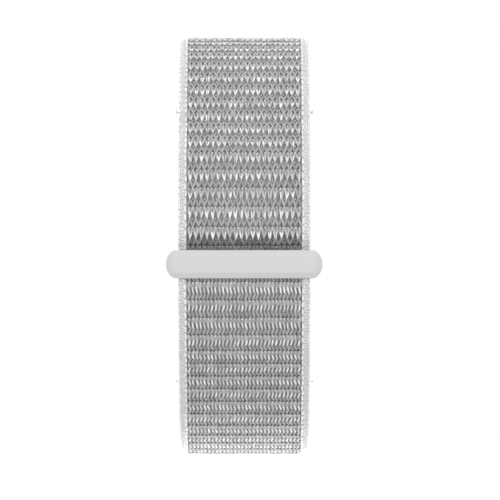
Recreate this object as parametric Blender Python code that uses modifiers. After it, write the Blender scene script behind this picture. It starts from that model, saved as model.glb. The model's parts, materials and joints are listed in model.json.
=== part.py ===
"""Hook and loop watch strap, 22 mm wide, fastened into a loop.

The long half comes down from the upper spring bar, turns round the ring's rear rod and lies back over
itself as the tail. The short half hangs from the ring's front bar and ends at the lower spring bar.

X runs across the strap, Y runs from the ring back to the spring bars, and Z is up. The origin lies
midway between the two spring bars. Sizes are in metres, written with the unit MM.
"""

import math

import bmesh
import bpy
from mathutils import Matrix, Vector

MM = 0.001
FULL_TURN = math.tau
QUARTER_TURN = math.pi / 2
MERGE_DISTANCE = 0.001 * MM
SHARP_ANGLE = math.radians(35)
HALVINGS = 50

# Loop, seen from the side. The crowns are its highest and lowest points
BAR_SPACING = 47.0 * MM
LOOP_DEPTH = 58.6 * MM
LOOP_HALF_HEIGHT = 35.8 * MM
RING_DROP = 2.95 * MM
CROWN_PLACE_SHARE = 0.3

# Webbing
STRAP_WIDTH = 22.0 * MM
EDGE_WIDTH = 1.4 * MM
EDGE_STEPS = 6
FACE_PLY = 0.95 * MM
BACKING_PLY = 0.85 * MM
PLY_GAP = 0.2 * MM
END_GAP = 0.3 * MM

# Bends of the webbing: radius at the outer surface, and how much of the steep slope comes first
EASY_SLOPE_SHARE = 0.55
SHORT_SLOPE_SHARE = 0.6
TAIL_EASY_RADIUS = 13.2 * MM
TAIL_STEEP_RADIUS = 9.6 * MM
LONG_STEEP_RADIUS = 10.0 * MM
SHORT_EASY_RADIUS = 4.0 * MM
SHORT_STEEP_RADIUS = 9.6 * MM
CROWN_RADIUS = 31.2 * MM
LUG_RADIUS = 14.5 * MM
TAIL_START_RUN = 1.5 * MM
TAIL_EASY_RUN = 5.0 * MM
SHORT_EASY_RUN = 8.9 * MM
BEND_STEP = math.radians(7.5)
STATION_MARGIN = 0.1 * MM

# Tail: the kink where it leaves the ring, and how far it reaches on both sides of the top
KINK_ANGLE = math.radians(50)
KINK_INNER_RADIUS = 0.8 * MM
KINK_OUTER_RADIUS = 2.6 * MM
TAIL_PAST_TOP = 12.8 * MM
TAIL_END_BEFORE_TOP = 14.0 * MM

# Hook patch and pull tab on the tail's end
HOOK_PLY = 0.5 * MM
HOOK_SIDE_MARGIN = 0.6 * MM
HOOK_SEAT_GAP = 0.2 * MM
HOOK_PILE_GAP = 0.3 * MM
HOOK_MARGIN = 1.6 * MM
TAB_LENGTH = 5.5 * MM
TAB_PLY = 1.5 * MM
TAB_SIDE_INSET = 0.8 * MM
TAB_CORNER = 3.0 * MM
TAB_STEPS = 5

# Ring: front bar, end posts and rear rod in one moulding
BAR_END_REACH = 0.65 * MM
BAR_END_BULGE = 1.7 * MM
BAR_HEIGHT = 4.7 * MM
BAR_THICKNESS = 2.4 * MM
BAR_BEVEL = 0.95 * MM
BAR_BEVEL_DEPTH = 0.6 * MM
BAR_BACK_ROUND = 0.3 * MM
BAR_END_STEPS = 14
POST_SIDE_GAP = 0.35 * MM
POST_THICKNESS = 1.0 * MM
POST_HALF_HEIGHT = 1.25 * MM
POST_STEPS = 10
ROD_RADIUS = 0.9 * MM
ROD_WRAP_GAP = 0.15 * MM
ROD_SIDES = 20
WINDOW_GAP = 0.2 * MM
JOIN_OVERLAP = 0.25 * MM
CUT_OVERRUN = 1.0 * MM

# Slot under the front bar that holds the short half's face ply
SHORT_SETBACK = 0.9 * MM
SLOT_DEPTH = 1.7 * MM
SLOT_CLEARANCE = 0.15 * MM
SLOT_ROOF_GAP = 0.2 * MM
SHORT_FREE_RUN = 0.3 * MM

# Tunnel of webbing round each spring bar, with a window for the release knob
TUNNEL_SIDE_INSET = 0.3 * MM
TUNNEL_WALL = 0.95 * MM
TUNNEL_BORE_GAP = 0.15 * MM
TUNNEL_NECK = 3.6 * MM
TUNNEL_STEPS = 18
WINDOW_END_ROOM = 0.35 * MM
WINDOW_HALF_HEIGHT = 1.6 * MM

# Quick-release spring bar
BARREL_RADIUS = 0.9 * MM
BARREL_BORE = 0.6 * MM
BARREL_END_INSET = 0.5 * MM
TIP_RADIUS = 0.45 * MM
TIP_REACH = 0.9 * MM
TIP_CHAMFER = 0.12 * MM
PLUG_RADIUS = 0.5 * MM
PLUG_LENGTH = 2.0 * MM
COLLAR_LENGTH = 0.3 * MM
COLLAR_GAP = 0.1 * MM
SHAFT_LENGTH = 5.2 * MM
SHAFT_INSET = 0.1 * MM
TURNED_SIDES = 16
RELEASE_TRAVEL = 1.3 * MM
KNOB_END_INSET = 2.8 * MM
KNOB_RADIUS = 0.75 * MM
KNOB_TOP = 2.4 * MM
KNOB_FOOT = 1.2 * MM
KNOB_EDGE = 0.15 * MM
STEM_RADIUS = 0.3 * MM
STEM_FOOT_GAP = 0.1 * MM
STEM_SLOT_GAP = 0.12 * MM

# Coil spring inside the barrel
WIRE_RADIUS = 0.09 * MM
COIL_RADIUS = 0.38 * MM
COIL_TURNS = 14
COIL_POINTS_PER_TURN = 8
COIL_END_GAP = 0.15 * MM

# Colours and finish: base colour, roughness, metallic
GREY_WEAVE = ((0.42, 0.42, 0.43), 0.9, 0.0)
PALE_PILE = ((0.55, 0.55, 0.56), 0.95, 0.0)
WHITE_EDGE = ((0.80, 0.80, 0.80), 0.85, 0.0)
PALE_PLASTIC = ((0.68, 0.68, 0.68), 0.45, 0.0)
HOOK_PLASTIC = ((0.60, 0.60, 0.61), 0.5, 0.0)
STEEL = ((0.60, 0.60, 0.61), 0.3, 1.0)

# Sizes that follow from the ones above
WEBBING = FACE_PLY + PLY_GAP + BACKING_PLY
PLY_HALF_WIDTH = STRAP_WIDTH / 2 - EDGE_WIDTH - PLY_GAP
HOOK_WIDTH = 2 * (PLY_HALF_WIDTH - HOOK_SIDE_MARGIN)
TAB_WIDTH = STRAP_WIDTH - 2 * TAB_SIDE_INSET
POST_INNER_X = STRAP_WIDTH / 2 + POST_SIDE_GAP
BAR_LENGTH = 2 * (POST_INNER_X + POST_THICKNESS + BAR_END_REACH)
TUNNEL_WIDTH = STRAP_WIDTH - 2 * TUNNEL_SIDE_INSET
BARREL_LENGTH = TUNNEL_WIDTH - 2 * BARREL_END_INSET
KNOB_PLACE = BARREL_LENGTH / 2 - KNOB_END_INSET
WRAP_RADIUS = ROD_RADIUS + ROD_WRAP_GAP + WEBBING
FRONT_Y = -LOOP_DEPTH
CROWN_Y = -LOOP_DEPTH * CROWN_PLACE_SHARE
ROD_Y = FRONT_Y + BAR_THICKNESS + WINDOW_GAP + WRAP_RADIUS
ROD_Z = -RING_DROP
TAIL_LIFT = WEBBING + HOOK_SEAT_GAP + HOOK_PLY + HOOK_PILE_GAP
LUG_Z = BAR_SPACING / 2
TUNNEL_RADIUS = BARREL_RADIUS + TUNNEL_BORE_GAP + TUNNEL_WALL


# Scene, objects and materials


def clear_scene():
    """Empty the scene, so that the script can be run again."""
    for item in list(bpy.data.objects):
        bpy.data.objects.remove(item)


def new_collection(name):
    """Make a collection under the scene."""
    collection = bpy.data.collections.new(name)
    bpy.context.scene.collection.children.link(collection)
    return collection


def give_material(item, finish):
    """Give the object a material of its own."""
    colour, roughness, metallic = finish
    material = bpy.data.materials.new(item.name)
    material.use_nodes = True
    shader = material.node_tree.nodes["Principled BSDF"]
    shader.inputs["Base Color"].default_value = (*colour, 1.0)
    shader.inputs["Roughness"].default_value = roughness
    shader.inputs["Metallic"].default_value = metallic
    item.data.materials.append(material)


def add_mesh(name, bm, collection, finish=None):
    """Turn a bmesh into an object, shaded smooth with its sharp edges kept."""
    mesh = bpy.data.meshes.new(name)
    bm.to_mesh(mesh)
    bm.free()
    mesh.shade_smooth()
    mesh.set_sharp_from_angle(angle=SHARP_ANGLE)
    item = bpy.data.objects.new(name, mesh)
    collection.objects.link(item)
    if finish:
        give_material(item, finish)
    return item


def as_tool(item):
    """Mark a cutter or a piece to join, which isn't part of the model itself."""
    item.hide_render = True
    item.display_type = "WIRE"
    return item


def add_axis(name, y, z):
    """An empty on a joint's axis, which carries the pieces that turn about it."""
    axis = bpy.data.objects.new(name, None)
    axis.location = (0, y, z)
    axis.empty_display_size = EDGE_WIDTH
    parts.objects.link(axis)
    return axis


def hang(item, axis):
    """Parent an object to an axis and keep it where it is."""
    item.parent = axis
    item.matrix_parent_inverse = Matrix.Translation(-Vector(axis.location))


def loft(name, rings, collection, finish=None):
    """Extrude a face through a row of outlines with the same number of points."""
    bm = bmesh.new()
    face = bm.faces.new([bm.verts.new(point) for point in rings[0]])
    for number, ring in enumerate(rings[1:]):
        grown = bmesh.ops.extrude_face_region(bm, geom=[face])
        if number:
            bmesh.ops.delete(bm, geom=[face], context="FACES_ONLY")
        face = next(piece for piece in grown["geom"] if isinstance(piece, bmesh.types.BMFace))
        for corner, point in zip(face.verts, ring):
            corner.co = point
    bmesh.ops.recalc_face_normals(bm, faces=bm.faces)
    return add_mesh(name, bm, collection, finish)


def turned(name, profile, finish, closed=False):
    """Spin a profile of (radius, height) points, which runs down its outer side, about Z."""
    bm = bmesh.new()
    points = [bm.verts.new((radius, 0, height)) for radius, height in profile]
    for first, second in zip(points, points[1:]):
        bm.edges.new((first, second))
    if closed:
        bm.edges.new((points[-1], points[0]))
    item = add_mesh(name, bm, parts, finish)
    spin = item.modifiers.new("turned", "SCREW")
    spin.axis = "Z"
    spin.angle = FULL_TURN
    spin.steps = TURNED_SIDES
    spin.render_steps = TURNED_SIDES
    spin.use_merge_vertices = True
    spin.merge_threshold = MERGE_DISTANCE
    return item


def add_boolean(item, tool, operation):
    """Join a piece to an object or cut it from it."""
    change = item.modifiers.new(tool.name, "BOOLEAN")
    change.operation = operation
    change.object = tool
    change.solver = "EXACT"


# Paths in the side view


class Path:
    """Straight runs and arcs along the webbing's outer surface.

    A piece is ("run", length) or ("arc", radius, turn). Heading 0 is up, and a positive turn leads
    back towards the spring bars. The lower half is the same thing mirrored, with side -1.
    """

    def __init__(self, start, heading, pieces, side=1):
        self.side = side
        self.pieces = []
        y, z, length = start[0], start[1] * side, 0.0
        for piece in pieces:
            self.pieces.append((length, y, z, heading, piece))
            step_y, step_z, turn = stride(heading, piece)
            y, z, heading = y + step_y, z + step_z, heading + turn
            length += piece_length(piece)
        self.length = length

    def at(self, distance):
        """Place, direction along the path and direction through the webbing at a distance."""
        for length, y, z, heading, piece in reversed(self.pieces):
            if length <= distance + MERGE_DISTANCE:
                break
        part = cut_piece(piece, distance - length)
        step_y, step_z, turn = stride(heading, part)
        y, z, heading = y + step_y, z + step_z, heading + turn
        place = Vector((0, y, z * self.side))
        along = Vector((0, math.sin(heading), math.cos(heading) * self.side))
        inward = Vector((0, math.cos(heading), -math.sin(heading) * self.side))
        return place, along, inward

    def stations(self, first, last):
        """Distances to put an outline at, between two distances along the path."""
        marks = {first, last}
        for length, _, _, _, piece in self.pieces:
            steps = 1
            if piece[0] == "arc":
                steps = max(1, round(abs(piece[2]) / BEND_STEP))
            marks.update(length + piece_length(piece) * step / steps for step in range(steps))
        low, high = first + STATION_MARGIN, last - STATION_MARGIN
        return sorted([first, last] + [mark for mark in marks if low < mark < high])


def piece_length(piece):
    """Length of a run or an arc."""
    if piece[0] == "run":
        return piece[1]
    return piece[1] * abs(piece[2])


def cut_piece(piece, distance):
    """The first part of a run or an arc."""
    if piece[0] == "run":
        return ("run", distance)
    return ("arc", piece[1], math.copysign(distance / piece[1], piece[2]))


def row_length(pieces):
    """Length of a row of pieces."""
    return sum(piece_length(piece) for piece in pieces)


def first_part(pieces, length):
    """A row of pieces up to a length, with the last one cut short."""
    kept = []
    for piece in pieces:
        left = length - row_length(kept)
        if left > MERGE_DISTANCE:
            kept.append(cut_piece(piece, min(left, piece_length(piece))))
    return kept


def stride(heading, piece):
    """How far a piece leads in Y and Z, and how much it turns."""
    if piece[0] == "run":
        return piece[1] * math.sin(heading), piece[1] * math.cos(heading), 0.0
    radius = math.copysign(piece[1], piece[2])
    after = heading + piece[2]
    step_y = radius * (math.cos(heading) - math.cos(after))
    step_z = radius * (math.sin(after) - math.sin(heading))
    return step_y, step_z, piece[2]


def travel(heading, pieces):
    """How far a row of pieces leads in Y and Z. Runs without a length count as none."""
    y = z = 0.0
    for piece in pieces:
        if piece == ("run", None):
            continue
        step_y, step_z, turn = stride(heading, piece)
        y, z, heading = y + step_y, z + step_z, heading + turn
    return y, z


def headings_of_open_runs(heading, pieces):
    """Headings of the runs whose lengths aren't known yet."""
    found = []
    for piece in pieces:
        if piece == ("run", None):
            found.append(heading)
        elif piece[0] == "arc":
            heading += piece[2]
    return found


def fill_runs(pieces, lengths):
    """Put lengths into the open runs, in order."""
    lengths = list(lengths)
    return [("run", lengths.pop(0)) if piece == ("run", None) else piece for piece in pieces]


def reach_height(heading, pieces, height):
    """Solve one open run, so that the pieces climb to a height."""
    slope = headings_of_open_runs(heading, pieces)[0]
    missing = height - travel(heading, pieces)[1]
    return fill_runs(pieces, [missing / math.cos(slope)])


def reach_point(heading, pieces, target_y, target_z):
    """Solve two open runs, so that the pieces lead to a point."""
    first, second = headings_of_open_runs(heading, pieces)
    y, z = travel(heading, pieces)
    y, z = target_y - y, target_z - z
    spread = math.sin(first) * math.cos(second) - math.sin(second) * math.cos(first)
    first_run = (y * math.cos(second) - z * math.sin(second)) / spread
    second_run = (z * math.sin(first) - y * math.cos(first)) / spread
    return fill_runs(pieces, [first_run, second_run])


def climb(pieces_at, start_y, start_z):
    """Lead a row of pieces from a start up to the crown. Their steep slope is found by halving."""
    low, high = 0.0, QUARTER_TURN
    for _ in range(HALVINGS):
        slope = (low + high) / 2
        pieces = reach_height(0.0, pieces_at(slope), LOOP_HALF_HEIGHT - start_z)
        if travel(0.0, pieces)[0] < CROWN_Y - start_y:
            low = slope
        else:
            high = slope
    return pieces, slope


def back_pieces(crown_z):
    """From a crown back to the spring bar, whose axis the middle of the webbing passes."""
    radius = LUG_RADIUS - WEBBING / 2
    neck = TUNNEL_NECK + END_GAP
    rise = radius + LUG_Z + WEBBING / 2 - crown_z
    turn = math.acos(rise / math.hypot(radius, neck)) - math.atan2(neck, radius)
    run = -CROWN_Y - radius * math.sin(turn) - neck * math.cos(turn)
    return [("run", run), ("arc", LUG_RADIUS, turn), ("run", neck)]


def lay_tail():
    """Outer surface of the webbing from behind the rod, round it, and up over the top.

    Gives the path, the distances of its hinge and its top, and its steep slope.
    """
    start = (ROD_Y + WRAP_RADIUS, ROD_Z)
    turn_pieces = [
        ("arc", WRAP_RADIUS, math.pi),
        ("run", BAR_HEIGHT / 2),
        ("arc", KINK_INNER_RADIUS, -KINK_ANGLE),
        ("arc", KINK_OUTER_RADIUS, KINK_ANGLE),
    ]
    turn_y, turn_z = travel(math.pi, turn_pieces)
    front_pieces, slope = climb(tail_front, start[0] + turn_y, start[1] + turn_z)
    top_pieces = []
    for piece in back_pieces(LOOP_HALF_HEIGHT - TAIL_LIFT):
        top_pieces.append(piece if piece[0] == "run" else ("arc", piece[1] + TAIL_LIFT, piece[2]))
    top_pieces = first_part(top_pieces, TAIL_PAST_TOP)
    hinge = row_length(turn_pieces)
    top = hinge + row_length(front_pieces)
    return Path(start, math.pi, turn_pieces + front_pieces + top_pieces), hinge, top, slope


def tail_front(slope):
    """The tail from its hinge up to the crown."""
    easy_slope = slope * EASY_SLOPE_SHARE
    return [
        ("run", TAIL_START_RUN),
        ("arc", TAIL_EASY_RADIUS, easy_slope),
        ("run", TAIL_EASY_RUN),
        ("arc", TAIL_STEEP_RADIUS, slope - easy_slope),
        ("run", None),
        ("arc", CROWN_RADIUS, QUARTER_TURN - slope),
    ]


def lay_long_half(slope):
    """Outer surface of the long half, from behind the rod up to the upper spring bar.

    It rises at the tail's steep slope, so that the tail lies on it at the same height all along.
    """
    start = (ROD_Y + ROD_RADIUS + ROD_WRAP_GAP, ROD_Z)
    crown_z = LOOP_HALF_HEIGHT - TAIL_LIFT
    front_pieces = [
        ("run", None),
        ("arc", LONG_STEEP_RADIUS, slope),
        ("run", None),
        ("arc", CROWN_RADIUS - TAIL_LIFT, QUARTER_TURN - slope),
    ]
    front_pieces = reach_point(0.0, front_pieces, CROWN_Y - start[0], crown_z - start[1])
    return Path(start, 0.0, front_pieces + back_pieces(crown_z))


def lay_short_half():
    """Outer surface of the short half, from inside the ring's slot to the lower spring bar."""
    start = (FRONT_Y + SHORT_SETBACK, ROD_Z - BAR_HEIGHT / 2 + SLOT_DEPTH - SLOT_ROOF_GAP)
    front_pieces, _ = climb(short_front, start[0], -start[1])
    return Path(start, 0.0, front_pieces + back_pieces(LOOP_HALF_HEIGHT), side=-1)


def short_front(slope):
    """The short half from the slot down to the crown."""
    easy_slope = slope * SHORT_SLOPE_SHARE
    return [
        ("run", SLOT_DEPTH - SLOT_ROOF_GAP + SHORT_FREE_RUN),
        ("arc", SHORT_EASY_RADIUS, easy_slope),
        ("run", SHORT_EASY_RUN),
        ("arc", SHORT_STEEP_RADIUS, slope - easy_slope),
        ("run", None),
        ("arc", CROWN_RADIUS, QUARTER_TURN - slope),
    ]


# Webbing: two plies between two selvedge bands


def ply_outline(depth, thickness, half_width=PLY_HALF_WIDTH):
    """Cross-section of a flat ply as (across, through) points."""
    inner = depth + thickness
    return [(-half_width, depth), (half_width, depth), (half_width, inner), (-half_width, inner)]


def edge_outline(side):
    """Cross-section of a selvedge band: half an ellipse on the strap's rim."""
    inner_x = STRAP_WIDTH / 2 - EDGE_WIDTH
    half = WEBBING / 2
    points = []
    for step in range(EDGE_STEPS + 1):
        angle = math.pi * step / EDGE_STEPS
        across = inner_x + EDGE_WIDTH * math.sin(angle)
        points.append((side * across, half - half * math.cos(angle)))
    return points


def sweep(name, path, first, last, outline_at, finish):
    """Carry a cross-section along a path. outline_at gives it for each distance."""
    rings = []
    for distance in path.stations(first, last):
        place, _, inward = path.at(distance)
        ring = [place + Vector((across, 0, 0)) + inward * through for across, through in outline_at(distance)]
        rings.append(ring)
    return loft(name, rings, parts, finish)


def webbing(name, path, first, last, outer, inner, first_set_in=0.0):
    """A length of webbing. outer and inner are (node suffix, thickness, finish) of the two plies.

    first_set_in is how far only the outer ply reaches on beyond the first end.
    """
    pieces = []
    outer_name, outer_thickness, outer_finish = outer
    inner_name, inner_thickness, inner_finish = inner
    start = first + first_set_in
    outer_section = ply_outline(0.0, outer_thickness)
    inner_section = ply_outline(WEBBING - inner_thickness, inner_thickness)
    pieces.append(sweep(f"{name}_{outer_name}", path, first, last, lambda _: outer_section, outer_finish))
    pieces.append(sweep(f"{name}_{inner_name}", path, start, last, lambda _: inner_section, inner_finish))
    for side, word in ((-1, "left"), (1, "right")):
        section = edge_outline(side)
        pieces.append(sweep(f"{name}_edge_{word}", path, start, last, lambda _: section, WHITE_EDGE))
    return pieces


def make_long_half(path):
    """Long half from the ring up to its tunnel."""
    last = path.length - TUNNEL_NECK - END_GAP
    return webbing(
        "long_strap", path, 0.0, last, ("face", FACE_PLY, PALE_PILE), ("backing", BACKING_PLY, GREY_WEAVE)
    )


def make_fold(path, hinge):
    """The turn round the ring's rod. The face ply lies on the inside of the turn."""
    return webbing(
        "ring_fold",
        path,
        END_GAP,
        hinge - END_GAP,
        ("backing", BACKING_PLY, GREY_WEAVE),
        ("face", FACE_PLY, PALE_PILE),
    )


def make_tail(path, hinge, end_hinge):
    """The part of the tail that shows, up to its end piece."""
    return webbing(
        "tail",
        path,
        hinge,
        end_hinge - END_GAP,
        ("backing", BACKING_PLY, GREY_WEAVE),
        ("face", FACE_PLY, PALE_PILE),
    )


def make_tail_end(path, end_hinge):
    """End of the tail, with the hook patch below it and the pull tab behind it."""
    last = path.length - TAB_LENGTH
    pieces = webbing(
        "tail_end",
        path,
        end_hinge,
        last - END_GAP,
        ("backing", BACKING_PLY, GREY_WEAVE),
        ("face", FACE_PLY, PALE_PILE),
    )
    patch = ply_outline(WEBBING + HOOK_SEAT_GAP, HOOK_PLY, HOOK_WIDTH / 2)
    patch_first = end_hinge + HOOK_MARGIN
    patch_last = last - HOOK_MARGIN
    pieces.append(sweep("hook_patch", path, patch_first, patch_last, lambda _: patch, HOOK_PLASTIC))
    pieces.append(make_pull_tab(path, last))
    return pieces


def make_pull_tab(path, first):
    """Moulded tab with two round corners, in line with the middle of the webbing."""
    distances = [first, path.length - TAB_CORNER]
    for step in range(1, TAB_STEPS + 1):
        angle = QUARTER_TURN * step / TAB_STEPS
        distances.append(path.length - TAB_CORNER + TAB_CORNER * math.sin(angle))
    depth = (WEBBING - TAB_PLY) / 2
    rings = []
    for distance in distances:
        beyond = max(0.0, distance - path.length + TAB_CORNER)
        inset = TAB_CORNER - math.sqrt(max(0.0, TAB_CORNER**2 - beyond**2))
        place, _, inward = path.at(distance)
        outline = ply_outline(depth, TAB_PLY, TAB_WIDTH / 2 - inset)
        rings.append([place + Vector((across, 0, 0)) + inward * through for across, through in outline])
    return loft("pull_tab", rings, parts, PALE_PLASTIC)


def make_short_half(path):
    """Short half from the ring's slot to its tunnel. Only its face ply goes into the slot."""
    last = path.length - TUNNEL_NECK - END_GAP
    return webbing(
        "short_strap",
        path,
        0.0,
        last,
        ("face", FACE_PLY, GREY_WEAVE),
        ("backing", BACKING_PLY, GREY_WEAVE),
        first_set_in=SLOT_DEPTH - SLOT_ROOF_GAP + END_GAP,
    )


# Ring


def bar_outline(inset):
    """Outline of the front bar in X and Z with bulging ends, drawn in from its full size by an inset."""
    half_height = BAR_HEIGHT / 2 - inset
    bulge = BAR_END_BULGE - inset
    centre = BAR_LENGTH / 2 - BAR_END_BULGE
    points = []
    for side in (1, -1):
        for step in range(BAR_END_STEPS + 1):
            angle = math.pi * step / BAR_END_STEPS - QUARTER_TURN
            across = side * (centre + bulge * math.cos(angle))
            points.append((across, side * half_height * math.sin(angle)))
    return points


def make_ring():
    """Front bar with its bevelled face, two posts and the rear rod, joined into one moulding."""
    layers = (
        (0.0, BAR_BEVEL),
        (BAR_BEVEL_DEPTH, 0.0),
        (BAR_THICKNESS - BAR_BACK_ROUND, 0.0),
        (BAR_THICKNESS, BAR_BACK_ROUND),
    )
    rings = []
    for depth, inset in layers:
        rings.append([Vector((x, FRONT_Y + depth, ROD_Z + z)) for x, z in bar_outline(inset)])
    ring = loft("ring", rings, parts, PALE_PLASTIC)
    for side in (-1, 1):
        add_boolean(ring, make_post(side), "UNION")
    add_boolean(ring, make_rod(), "UNION")
    add_boolean(ring, make_slot_cutter(), "DIFFERENCE")
    return ring


def make_post(side):
    """A post from the front bar back to the rod, round about the rod."""
    front = FRONT_Y + BAR_THICKNESS - JOIN_OVERLAP
    outline = [(front, POST_HALF_HEIGHT), (front, -POST_HALF_HEIGHT)]
    for step in range(POST_STEPS + 1):
        angle = math.pi * step / POST_STEPS - QUARTER_TURN
        outline.append((ROD_Y + POST_HALF_HEIGHT * math.cos(angle), POST_HALF_HEIGHT * math.sin(angle)))
    rings = []
    for x in (side * POST_INNER_X, side * (POST_INNER_X + POST_THICKNESS)):
        rings.append([Vector((x, y, ROD_Z + z)) for y, z in outline])
    word = "left" if side < 0 else "right"
    return as_tool(loft(f"ring_post_{word}", rings, tools))


def make_rod():
    """Rear rod, let into both posts."""
    bm = bmesh.new()
    length = 2 * (POST_INNER_X + JOIN_OVERLAP)
    bmesh.ops.create_cone(
        bm, cap_ends=True, segments=ROD_SIDES, radius1=ROD_RADIUS, radius2=ROD_RADIUS, depth=length
    )
    rod = add_mesh("ring_rod", bm, tools)
    rod.rotation_euler = (0, QUARTER_TURN, 0)
    rod.location = (0, ROD_Y, ROD_Z)
    return as_tool(rod)


def make_box(name, low, high):
    """A box between two corners, used as a cutter."""
    bm = bmesh.new()
    bmesh.ops.create_cube(bm, size=1)
    box = add_mesh(name, bm, tools)
    box.scale = [top - bottom for bottom, top in zip(low, high)]
    box.location = [(top + bottom) / 2 for bottom, top in zip(low, high)]
    return as_tool(box)


def make_slot_cutter():
    """The slot under the front bar."""
    half_width = PLY_HALF_WIDTH + SLOT_CLEARANCE
    front = FRONT_Y + SHORT_SETBACK - SLOT_CLEARANCE
    underside = ROD_Z - BAR_HEIGHT / 2
    low = (-half_width, front, underside - CUT_OVERRUN)
    high = (half_width, front + FACE_PLY + 2 * SLOT_CLEARANCE, underside + SLOT_DEPTH)
    return make_box("ring_slot", low, high)


# Tunnels


def tunnel_outline():
    """Teardrop round the spring bar in (towards the strap, through), with the bar's axis at 0."""
    half = WEBBING / 2
    reach = math.hypot(TUNNEL_NECK, half)
    touch = math.atan2(half, TUNNEL_NECK) + math.acos(TUNNEL_RADIUS / reach)
    points = [(TUNNEL_NECK, -half), (TUNNEL_NECK, half)]
    for step in range(TUNNEL_STEPS + 1):
        angle = touch + (FULL_TURN - 2 * touch) * step / TUNNEL_STEPS
        points.append((TUNNEL_RADIUS * math.cos(angle), TUNNEL_RADIUS * math.sin(angle)))
    return points


def circle_outline(radius, sides):
    """Points of a circle about 0."""
    return [
        (radius * math.cos(FULL_TURN * step / sides), radius * math.sin(FULL_TURN * step / sides))
        for step in range(sides)
    ]


def add_spline(curve, points):
    """A closed outline in a flat curve."""
    spline = curve.splines.new("POLY")
    spline.points.add(len(points) - 1)
    for corner, (x, y) in zip(spline.points, points):
        corner.co = (x, y, 0, 1)
    spline.use_cyclic_u = True


def flat_solid(name, outlines, thickness, finish):
    """Extrude a flat outline with holes, and turn the result into a welded mesh."""
    curve = bpy.data.curves.new(name, "CURVE")
    curve.dimensions = "2D"
    curve.fill_mode = "BOTH"
    curve.extrude = thickness / 2
    for points in outlines:
        add_spline(curve, points)
    guide = bpy.data.objects.new(name + "_outline", curve)
    tools.objects.link(guide)
    bpy.context.view_layer.update()
    mesh = bpy.data.meshes.new_from_object(guide.evaluated_get(bpy.context.evaluated_depsgraph_get()))
    bpy.data.objects.remove(guide)
    bm = bmesh.new()
    bm.from_mesh(mesh)
    bpy.data.meshes.remove(mesh)
    bmesh.ops.remove_doubles(bm, verts=bm.verts, dist=MERGE_DISTANCE)
    bmesh.ops.recalc_face_normals(bm, faces=bm.faces)
    return add_mesh(name, bm, parts, finish)


def make_tunnel(name, path, axis, release_side):
    """Webbing folded round a spring bar, with a window for the knob on its wrist side."""
    _, along, inward = path.at(path.length)
    outlines = [tunnel_outline(), circle_outline(BARREL_RADIUS + TUNNEL_BORE_GAP, TURNED_SIDES)]
    tunnel = flat_solid(name, outlines, TUNNEL_WIDTH, WHITE_EDGE)
    across = (-along).cross(inward)
    turn = Matrix((-along, inward, across)).transposed()
    tunnel.matrix_world = Matrix.Translation(axis.location) @ turn.to_4x4()
    room = KNOB_RADIUS + WINDOW_END_ROOM
    near = release_side * KNOB_PLACE
    ends = sorted((near + release_side * room, near - release_side * (room + RELEASE_TRAVEL)))
    window = make_box(
        name + "_window", (ends[0], -WINDOW_HALF_HEIGHT, 0.0), (ends[1], WINDOW_HALF_HEIGHT, KNOB_TOP)
    )
    facing = Matrix((Vector((1, 0, 0)), inward.cross(Vector((1, 0, 0))), inward)).transposed()
    window.matrix_world = Matrix.Translation(axis.location) @ facing.to_4x4() @ window.matrix_basis
    add_boolean(tunnel, window, "DIFFERENCE")
    return tunnel


# Spring bars


def make_spring_bar(word, path, axis):
    """Barrel, two tips, release knob and coil spring, all about one spring bar's axis."""
    inward = path.at(path.length)[2]
    facing = Matrix((Vector((1, 0, 0)), inward.cross(Vector((1, 0, 0))), inward)).transposed().to_4x4()
    along_bar = facing @ Matrix.Rotation(QUARTER_TURN, 4, "Y")
    barrel = make_barrel(f"{word}_bar_barrel", axis, facing)
    fixed = turned(f"{word}_bar_fixed_tip", fixed_tip_profile(), STEEL)
    sliding = turned(f"{word}_bar_sliding_tip", sliding_tip_profile(), STEEL)
    knob = turned(f"{word}_bar_release_knob", knob_profile(), STEEL)
    spring = make_spring(f"{word}_bar_spring")
    for item in (barrel, fixed, sliding, spring):
        item.parent = axis
        item.matrix_basis = along_bar
    knob.parent = axis
    knob.matrix_basis = facing @ Matrix.Translation((KNOB_PLACE, 0, 0))
    return barrel, fixed, sliding, knob, spring


def make_barrel(name, axis, facing):
    """Tube with a slot in which the knob's stem travels."""
    half = BARREL_LENGTH / 2
    profile = [(BARREL_RADIUS, half), (BARREL_RADIUS, -half), (BARREL_BORE, -half), (BARREL_BORE, half)]
    barrel = turned(name, profile, STEEL, closed=True)
    room = STEM_RADIUS + STEM_SLOT_GAP
    low = (KNOB_PLACE - room - RELEASE_TRAVEL, -room, 0.0)
    high = (KNOB_PLACE + room, room, KNOB_TOP)
    slot = make_box(name + "_slot", low, high)
    slot.matrix_world = Matrix.Translation(axis.location) @ facing @ slot.matrix_basis
    add_boolean(barrel, slot, "DIFFERENCE")
    return barrel


def fixed_tip_profile():
    """Stub, collar and plug, with the stub at the lower end."""
    end = STRAP_WIDTH / 2 + TIP_REACH
    collar = BARREL_LENGTH / 2 + COLLAR_GAP
    return [
        (0.0, -collar + COLLAR_GAP + PLUG_LENGTH),
        (PLUG_RADIUS, -collar + COLLAR_GAP + PLUG_LENGTH),
        (PLUG_RADIUS, -collar),
        (BARREL_RADIUS, -collar),
        (BARREL_RADIUS, -collar - COLLAR_LENGTH),
        (TIP_RADIUS, -collar - COLLAR_LENGTH),
        (TIP_RADIUS, -end + TIP_CHAMFER),
        (TIP_RADIUS - TIP_CHAMFER, -end),
        (0.0, -end),
    ]


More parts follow.
